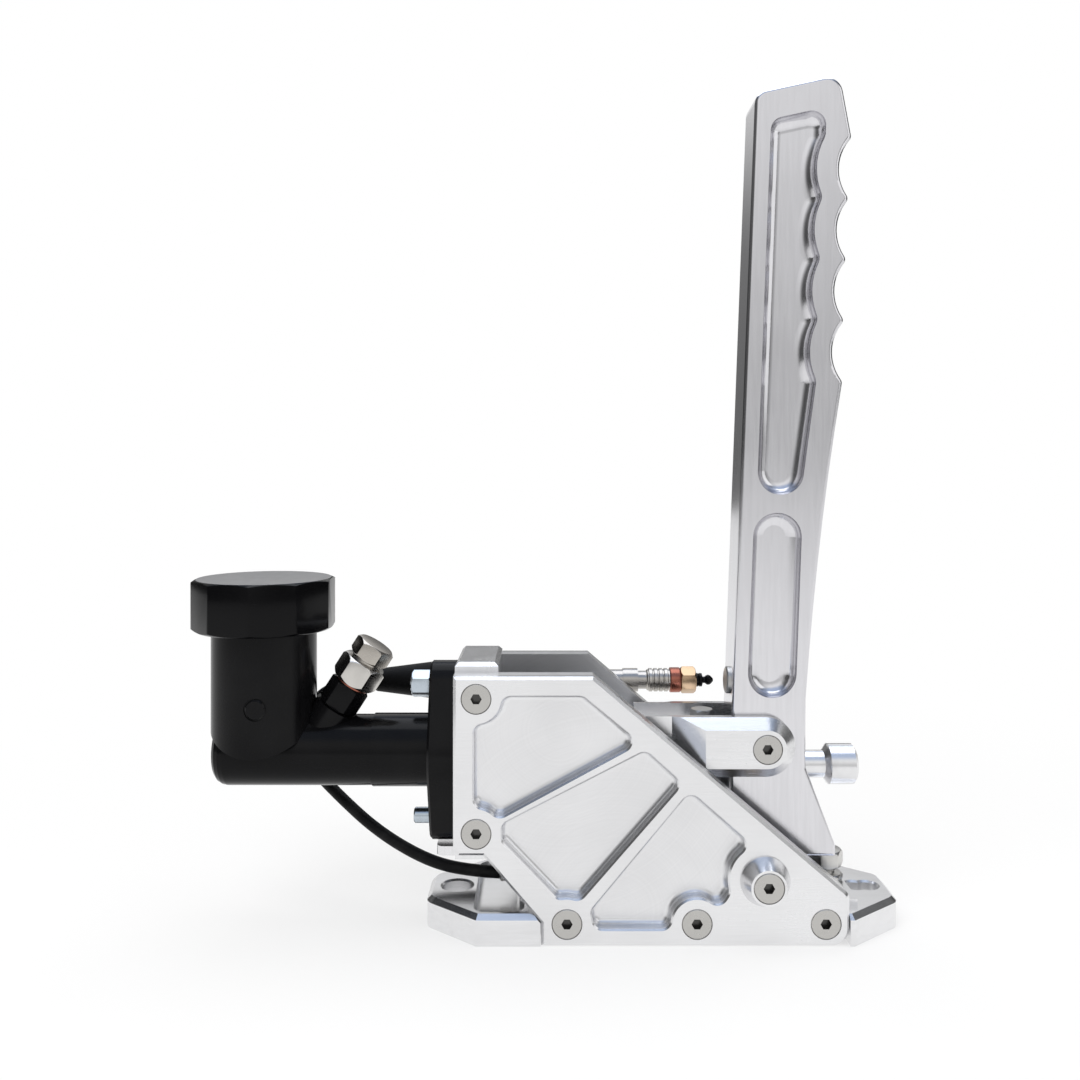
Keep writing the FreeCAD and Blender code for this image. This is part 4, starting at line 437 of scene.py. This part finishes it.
class HANDBRAKE_OT_hose(bpy.types.Operator):
    """Lays the hose from the boot on the far side down to the foot of the frame"""

    bl_idname = "handbrake.hose"
    bl_label = "Hose"

    def execute(self, context):
        diameter = context.scene.handbrake_sizes.hose_diameter
        curve = bpy.data.curves.new("hose_line", "CURVE")
        curve.dimensions = "3D"
        spline = curve.splines.new("NURBS")
        spline.points.add(len(HOSE_POINTS) - 1)
        for point, place in zip(spline.points, HOSE_POINTS):
            point.co = (*(part * MM for part in place), 1.0)
        spline.order_u = 3
        spline.use_endpoint_u = True
        spline.resolution_u = 12
        curve.bevel_depth = diameter / 2
        curve.bevel_resolution = 6
        curve.use_fill_caps = True
        hose = bpy.data.objects.new("hose_line", curve)
        context.scene.collection.objects.link(hose)
        curve.materials.append(soft_rubber("hose_rubber", colours()["rubber"], 0.45))
        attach(hose, "frame")
        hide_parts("hose")
        return {"FINISHED"}


class HANDBRAKE_OT_frame(bpy.types.Operator):
    """Finishes the side plates, the base and the front block"""

    bl_idname = "handbrake.frame"
    bl_label = "Frame"

    def execute(self, context):
        metal = colours()["aluminium"]
        shallow = 0.0000015
        paint_nodes(pocketed("plate_metal", metal), "side_plate_near", "side_plate_far")
        base = milled("base_metal", metal, (60, 500, 500), 0.24, shallow)
        paint_nodes(base, "base_plate", "hose_union")
        paint_nodes(milled("block_metal", metal, (500, 500, 60), depth=shallow), "front_block")
        return {"FINISHED"}


class HANDBRAKE_OT_lever(bpy.types.Operator):
    """Finishes the lever and what it turns on"""

    bl_idname = "handbrake.lever"
    bl_label = "Lever"

    def execute(self, context):
        chosen = colours()
        paint_nodes(milled("lever_metal", (0.74, 0.735, 0.76), (700, 700, 40), 0.17), "lever")
        paint_nodes(satin("disc_metal", chosen["plating"]), "contact_disc")
        paint_nodes(turned_metal("collar_metal", chosen["aluminium"], RINGS_Y), "pivot_collars")
        shaft = turned_metal("shaft_steel", chosen["plating"], RINGS_Y)
        paint_nodes(shaft, "pivot_shaft", "pivot_spacers", "fork_pin")
        paint_nodes(turned_metal("bush_brass", chosen["brass"], RINGS_Y), "pivot_bushes", "fork_bush")
        return {"FINISHED"}


def thread(start, end, radius, pitch=1.0, depth=0.45):
    """Profile pairs of a threaded length."""
    turns = max(2, round((end - start) / pitch))
    step = (end - start) / turns
    pairs = [(start, 0), (start, radius - depth)]
    for i in range(turns):
        pairs += [(start + (i + 0.5) * step, radius), (start + (i + 1) * step, radius - depth)]
    return pairs + [(end, 0)]


def hexagon(flats, length, chamfer, width=0.25):
    """A hexagon with turned corners at both ends, from 0 to its length along +Z."""
    corner = flats / math.sqrt(3)
    inset = flats / 2 - 0.1
    profile = [(0, 0), (0, inset), (chamfer, corner),
               (length - chamfer, corner), (length, inset), (length, 0)]
    return softened(flattened(spun(profile, 72), 6, flats), width)


# The stop bolt's place and its hexagon across flats, in millimetres
STOP_X = 72.3
STOP_FLATS = 13.0


class HANDBRAKE_OT_linkage(bpy.types.Operator):
    """Finishes the fork, the pushrod, the adjuster and the stop bolt"""

    bl_idname = "handbrake.linkage"
    bl_label = "Linkage"

    def execute(self, context):
        chosen = colours()
        paint_nodes(milled("fork_metal", chosen["aluminium"], (60, 900, 900)), "fork")
        rod = turned_metal("rod_steel", chosen["plating"], RINGS_X)
        paint_nodes(rod, "pushrod", "pushrod_locknut")
        paint_nodes(turned_metal("knob_metal", chosen["aluminium"], RINGS_X), "adjuster")
        steel = satin("bolt_steel", chosen["plating"], 0.3)
        bolt = [aimed(spun(thread(0, 18.6, 3.9, 1.25, 0.6), 40), (STOP_X, 0, 3), UP),
                aimed(hexagon(STOP_FLATS, 6.9, 1.2), (STOP_X, 0, 21.6), UP)]
        piece("threaded_stop", joined(bolt), steel, "frame", ["stop_bolt"])
        nut = aimed(hexagon(STOP_FLATS, 3.6, 1.0), (STOP_X, 0, 15.0), UP)
        piece("lock_nut", nut, steel, "frame", ["stop_nut"])
        paint_nodes(steel, "fork_lock_bolt")
        return {"FINISHED"}


# The outlet's lean and the flange's studs, in millimetres
OUTLET_TILT = math.radians(33)
OUTLET_AXIS = (math.sin(OUTLET_TILT), 0, math.cos(OUTLET_TILT))
OUTLET_START = (-137.4, 0, 94)
FLANGE_X = -98.8
STUD_HEIGHTS = (42.925, 100.075)
STUD_END_X = -107.6
SCREW_END_X = -106.2
SOCKET_FLATS = 4.0


def on_outlet(station):
    """A point on the outlet's axis, in millimetres."""
    return tuple(start + station * part for start, part in zip(OUTLET_START, OUTLET_AXIS))


def socket_screw(height):
    """The lower flange screw, with a hexagon socket sunk in its end."""
    corner = SOCKET_FLATS / math.sqrt(3)
    mesh = bmesh.new()
    rims = []
    for radius, depth, sides in ((3.4, 34.0, 48), (3.4, 0.6, 48), (2.8, 0.0, 48),
                                 (corner, 0.0, 6), (corner, 3.0, 6)):
        points = [mesh.verts.new((radius * MM * math.cos(2 * math.pi * i / sides),
                                  radius * MM * math.sin(2 * math.pi * i / sides), depth * MM))
                  for i in range(sides)]
        rims.append([mesh.edges.new((points[i], points[(i + 1) % sides])) for i in range(sides)])
    for outer, inner in zip(rims, rims[1:]):
        bmesh.ops.bridge_loops(mesh, edges=outer + inner)
    bmesh.ops.holes_fill(mesh, edges=rims[0] + rims[-1], sides=0)
    bmesh.ops.recalc_face_normals(mesh, faces=mesh.faces)
    return aimed(mesh, (SCREW_END_X, 0, height), FORWARD)


class HANDBRAKE_OT_cylinder(bpy.types.Operator):
    """Finishes the master cylinder and what is bolted to it"""

    bl_idname = "handbrake.cylinder"
    bl_label = "Cylinder"

    def execute(self, context):
        chosen = colours()
        black = gloss_black("cylinder_black", chosen["black"], 0.17)
        paint_nodes(black, "cylinder_body", "reservoir_plug")
        plating = satin("stud_plating", (0.52, 0.58, 0.64), 0.26)
        low, high = STUD_HEIGHTS
        nut = aimed(hexagon(10.2, 8.2, 0.7), (FLANGE_X, 0, high), BACKWARD)
        piece("stud_nut", nut, plating, "frame", ["flange_nut"])
        studs = [aimed(spun(thread(0, 34.8, 3.4), 32), (STUD_END_X, 0, high), FORWARD), socket_screw(low)]
        piece("threaded_studs", joined(studs), plating, "frame", ["flange_studs"])
        washer = turned_metal("washer_copper", chosen["copper"], (900, 900, 900), 0.35)
        paint_nodes(washer, "outlet_washer")
        return {"FINISHED"}


# Turn as a share of one side; corner radius and place of the cap's underside in millimetres
CAP_SIDES = 10
CAP_TURN = 0.583
CAP_CORNER = 30.5
CAP_PLACE = (-171.3, 0, 124)
# Grey painted on the black cap's top face: a painted reflection of the bright sky
LID_PAINTED_REFLECTION = (0.27, 0.27, 0.275)


class HANDBRAKE_OT_cap(bpy.types.Operator):
    """Makes the ten-sided cap with its bevelled rims"""

    bl_idname = "handbrake.cap"
    bl_label = "Reservoir cap"

    def execute(self, context):
        black = colours()["black"]
        finish = Finish("cap_black", black, 0.2, specular=BLACK_GLOSS)
        lid = finish.along("Z").above(LID_Z)
        grain = finish.noise(finish.place(), 300.0, 3.0)
        # Painted reflection: the cap's top face is painted a lighter grey, as if it mirrored the sky
        finish.put("Base Color", finish.blend(lid * (grain * 0.4 + 0.7), black, LID_PAINTED_REFLECTION))
        finish.put("Roughness", lid * 0.25 + grain * 0.08 + 0.12)
        flats = 2 * CAP_CORNER * math.cos(math.pi / CAP_SIDES)
        profile = [(0, 22.65), (0, 28.4), (1.3, CAP_CORNER), (21.0, CAP_CORNER), (22, 28.4), (22, 0)]
        cap = flattened(spun(profile, 120), CAP_SIDES, flats, 2 * math.pi * CAP_TURN / CAP_SIDES)
        cap = aimed(softened(cap, 0.35), CAP_PLACE, UP)
        piece("cap_decagon", cap, finish.material, "cap_ring", ["reservoir_cap"])
        return {"FINISHED"}


class HANDBRAKE_OT_outlet(bpy.types.Operator):
    """Makes the angled outlet: black adaptor, union nut and hexagon plug"""

    bl_idname = "handbrake.outlet"
    bl_label = "Outlet"

    def execute(self, context):
        chosen = colours()
        black = gloss_black("adaptor_black", chosen["black"], 0.24)
        steel = satin("nut_steel", (0.62, 0.6, 0.57), 0.22)
        adaptor = [aimed(hexagon(15.5, 11.6, 1.0), on_outlet(-4.5), OUTLET_AXIS),
                   aimed(spun(thread(0, 26, 5.0), 40), on_outlet(-11), OUTLET_AXIS)]
        piece("adaptor_hexagon", joined(adaptor), black, "frame", ["outlet_adaptor"])
        nut = aimed(hexagon(18, 10.4, 1.7, 0.35), on_outlet(8.15), OUTLET_AXIS)
        piece("union_nut", nut, steel, "frame", ["outlet_nut"])
        collar = spun([(0, 0), (0, 7.0), (1.4, 7.0), (1.4, 0)])
        plug = [aimed(softened(collar, 0.2), on_outlet(18.6), OUTLET_AXIS),
                aimed(hexagon(15.6, 7.4, 1.1), on_outlet(20.0), OUTLET_AXIS)]
        dull = satin("plug_steel", (0.48, 0.45, 0.41), 0.26)
        piece("hexagon_plug", joined(plug), dull, "frame", ["outlet_plug"])
        return {"FINISHED"}


# Millimetres: each soft node's fixed end and free length
SHORTENED = (("return_spring", -180.4, 72.2), ("dust_boot", -68.6, 27.7))


class HANDBRAKE_OT_inside(bpy.types.Operator):
    """Finishes the piston, seals, spring and boot"""

    bl_idname = "handbrake.inside"
    bl_label = "Inside"

    def execute(self, context):
        chosen = colours()
        piston = turned_metal("piston_metal", chosen["aluminium"], RINGS_X)
        paint_nodes(piston, "piston", "valve_stem", "retaining_washer", "retaining_ring")
        paint_nodes(satin("spring_steel", chosen["plating"], 0.3), "return_spring")
        rubber = soft_rubber("seal_rubber", chosen["rubber"])
        paint_nodes(rubber, "primary_seal", "secondary_seal", "valve_seal", "diaphragm", "dust_boot")
        for node, fixed_x, length in SHORTENED:
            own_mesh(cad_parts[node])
        return {"FINISHED"}


# Y and Z of the far-side line's axis, in millimetres
LINE_AXIS = (37.0, 94.0)


class HANDBRAKE_OT_side_line(bpy.types.Operator):
    """Finishes the line along the far side"""

    bl_idname = "handbrake.side_line"
    bl_label = "Side line"

    def execute(self, context):
        chosen = colours()
        paint_nodes(soft_rubber("boot_rubber", chosen["rubber"], 0.5), "line_boot")
        paint_nodes(turned_metal("tube_steel", (0.43, 0.41, 0.385), RINGS_X), "line_tube")
        crimped = turned_metal("crimp_steel", (0.5, 0.475, 0.44), RINGS_X, 0.28)
        paint_nodes(crimped, "hose_ferrule")
        profile = [(0, 0), (0, 4.3), (0.6, 4.9)]
        for i in range(4):
            start = 1.0 + 2.4 * i
            profile += [(start, 4.9), (start + 0.3, 5.4), (start + 1.7, 5.4), (start + 2.0, 4.9)]
        profile += [(10.9, 4.9), (10.9, 3.0), (19.9, 3.0), (19.9, 0)]
        self.lay("crimped_union", spun(profile), -2.1, crimped, "line_union", "plated")
        ring = spun([(0, 3.05), (0, 5.8), (5.0, 5.8), (5.0, 3.05), (0, 3.05)])
        copper = turned_metal("ring_copper", chosen["copper"], RINGS_LINE, 0.3)
        self.lay("copper_ring", softened(ring, 0.6, 3), 8.85, copper, "line_ring", "copper")
        nut = spun([(0, 0), (0, 5.3), (0.9, 6.35), (6.1, 6.35), (7.0, 5.3), (7.0, 0)], 72)
        brass = turned_metal("nut_brass", chosen["brass"], RINGS_LINE)
        self.lay("brass_nut", softened(flattened(nut, 6, 11.0), 0.3), 13.95, brass, "line_nut", "brass")
        black = gloss_black("tip_black", chosen["black"])
        tip = spun([(0, 0), (0, 3.1), (1.2, 3.1), (1.5, 2.7), (1.8, 3.1), (3.0, 3.1), (3.6, 1.5),
                    (4.5, 1.5), (5.2, 2.1), (6.0, 2.35), (6.9, 2.1), (7.6, 1.5), (8.3, 0.7), (8.4, 0)], 48)
        self.lay("ball_tip", tip, 21.0, black, "line_cap", "black_anodised")
        paint_nodes(black, "line_clips")
        return {"FINISHED"}

    def lay(self, name, mesh, start, material, node, slot):
        """Lays a turned piece on the far-side line's axis, from a start in millimetres."""
        y, z = LINE_AXIS
        piece(name, aimed(mesh, (start, y, z), FORWARD), material, "frame", [node])


class HANDBRAKE_OT_screws(bpy.types.Operator):
    """Finishes the screws"""

    bl_idname = "handbrake.screws"
    bl_label = "Screws"

    def execute(self, context):
        steel = colours()["screws"]
        for node, face in (("frame_screws", 31.0), ("pivot_screws", 39.0), ("fork_pin_screws", 19.5)):
            paint_nodes(self.sunk(node + "_steel", steel, face), node)
        paint_nodes(satin("clip_steel", steel, 0.28), "clip_screws")
        return {"FINISHED"}

    def sunk(self, name, colour, face):
        """Steel with painted shade inside its socket, below the level of the head's face in millimetres."""
        finish = Finish(name, colour, 0.26, 1.0)
        socket_shade_mask = finish.along("Y").absolute().between((face - 0.9) * MM, (face - 0.3) * MM)
        stains = finish.noise(finish.place(), 160.0, 3.0)
        # Painted shade: the socket is darkened to 0.14 of the steel's colour below the head's face
        finish.put("Base Color", finish.blend(socket_shade_mask, shaded(colour, 0.14), colour))
        finish.put("Roughness", stains * 0.2 + 0.16)
        return finish.material


WHITE = (1.0, 1.0, 1.0)
SKY_BLUE = (0.5, 0.6, 0.8)
LIT_POINT = Vector((-0.03, 0, 0.12))
FLOOR_REACH = 6.0


class HANDBRAKE_OT_stage(bpy.types.Operator):
    """Sets the handbrake on a pale floor in soft studio light"""

    bl_idname = "handbrake.stage"
    bl_label = "Stage"

    def execute(self, context):
        shade = colours()["backdrop"]
        floor_finish = Finish("floor_paper", shade, 0.9)
        paper = floor_finish.noise(floor_finish.place(), 240.0, 3.0)
        floor_finish.put("Base Color", floor_finish.blend(paper, shade, shaded(shade, 0.985)))
        self.whiten(floor_finish)
        mesh = bmesh.new()
        bmesh.ops.create_grid(mesh, x_segments=2, y_segments=2, size=FLOOR_REACH)
        data = bpy.data.meshes.new("floor")
        mesh.to_mesh(data)
        mesh.free()
        data.materials.append(floor_finish.material)
        floor = bpy.data.objects.new("floor", data)
        floor.location = (0, 0, -0.0002)
        context.scene.collection.objects.link(floor)
        key = self.light("key_light", (-0.55, -0.75, 1.05), 0.9, 7.0)
        key.visible_glossy = False
        self.light("fill_light", (0.95, -0.55, 0.6), 0.8, 2.0)
        self.light("top_light", (0.0, 0.25, 1.3), 1.1, 7.0)
        self.sky(context)
        context.scene.view_settings.view_transform = "Standard"
        return {"FINISHED"}

    def whiten(self, finish):
        """Lets the floor shine white to the camera and to metal, all but the shadow near the object."""
        camera, glossy, clear = finish.rays("Camera", "Glossy", "Transmission")
        here = finish.node("ShaderNodeTexCoord", output="Object")
        reach = finish.node("ShaderNodeVectorMath", {"operation": "LENGTH"}, {0: here}, output=1)
        seen = camera * reach.between(0.12, 0.5, 0.6, 1.0) + glossy * 0.75 + clear
        glow = finish.node("ShaderNodeEmission", None, {"Color": WHITE, "Strength": 1.0})
        paper = Value(finish, finish.shader.outputs[0])
        mixed = finish.node("ShaderNodeMixShader", None, {0: seen, 1: paper, 2: glow})
        finish.feed(finish.tree.nodes["Material Output"].inputs["Surface"], mixed)

    def light(self, name, place, size, power):
        """A square soft light that faces the handbrake."""
        data = bpy.data.lights.new(name, "AREA")
        data.size = size
        data.energy = power
        lamp = bpy.data.objects.new(name, data)
        lamp.location = place
        lamp.rotation_euler = (LIT_POINT - Vector(place)).to_track_quat("-Z", "Y").to_euler()
        bpy.context.scene.collection.objects.link(lamp)
        return lamp

    def sky(self, context):
        """White where the camera and glass look, a shaded room in metal, and plain soft light elsewhere."""
        world = bpy.data.worlds.new("studio")
        world.use_nodes = True
        sky = Nodes(world.node_tree)
        camera, glossy, clear = sky.rays("Camera", "Glossy", "Transmission")
        direction = sky.node("ShaderNodeTexCoord", output="Generated")
        x, y, z = [sky.node("ShaderNodeSeparateXYZ", None, {0: direction}, output=axis) for axis in "XYZ"]
        height = z.between(0.0, 0.45, 0.6, 1.0)
        behind = 1 - z.between(0.2, 0.42, 1.0, 0.0) * y.between(0.05, 0.75, 0.0, 0.75)
        sides = x.between(-0.75, -0.2, 0.12, 1.0) * x.between(0.2, 0.75, 1.0, 0.12)
        seen = camera.larger(clear)
        shine = glossy * height * behind * sides + (1 - glossy) * 0.55
        background = world.node_tree.nodes["Background"]
        sky.feed(background.inputs["Color"], sky.blend(glossy * z.between(0.5, 0.8), WHITE, SKY_BLUE))
        sky.feed(background.inputs["Strength"], seen + (1 - seen) * shine)
        context.scene.world = world


class HANDBRAKE_PT_panel(bpy.types.Panel):
    """Lists the handbrake's pieces"""

    bl_idname = "HANDBRAKE_PT_panel"
    bl_label = "Handbrake"
    bl_space_type = "VIEW_3D"
    bl_region_type = "UI"
    bl_category = "Handbrake"

    def draw(self, context):
        for owner in (context.scene.handbrake_sizes, context.scene.handbrake_colours):
            for key in type(owner).__annotations__:
                self.layout.prop(owner, key)
        for operator in OPERATORS:
            self.layout.operator(operator.bl_idname)


OPERATORS = (HANDBRAKE_OT_camera, HANDBRAKE_OT_hose, HANDBRAKE_OT_frame, HANDBRAKE_OT_lever,
             HANDBRAKE_OT_linkage, HANDBRAKE_OT_cylinder, HANDBRAKE_OT_cap, HANDBRAKE_OT_outlet,
             HANDBRAKE_OT_inside, HANDBRAKE_OT_side_line, HANDBRAKE_OT_screws, HANDBRAKE_OT_stage)
CLASSES = (HandbrakeSizes, HandbrakeColours, *OPERATORS, HANDBRAKE_PT_panel)


def register():
    for cls in CLASSES:
        bpy.utils.register_class(cls)
    bpy.types.Scene.handbrake_sizes = bpy.props.PointerProperty(type=HandbrakeSizes)
    bpy.types.Scene.handbrake_colours = bpy.props.PointerProperty(type=HandbrakeColours)


def unregister():
    del bpy.types.Scene.handbrake_sizes
    del bpy.types.Scene.handbrake_colours
    for cls in reversed(CLASSES):
        bpy.utils.unregister_class(cls)


def main():
    register()
    for operator in OPERATORS:
        group, name = operator.bl_idname.split(".")
        getattr(getattr(bpy.ops, group), name)()


if __name__ == "__main__":
    main()
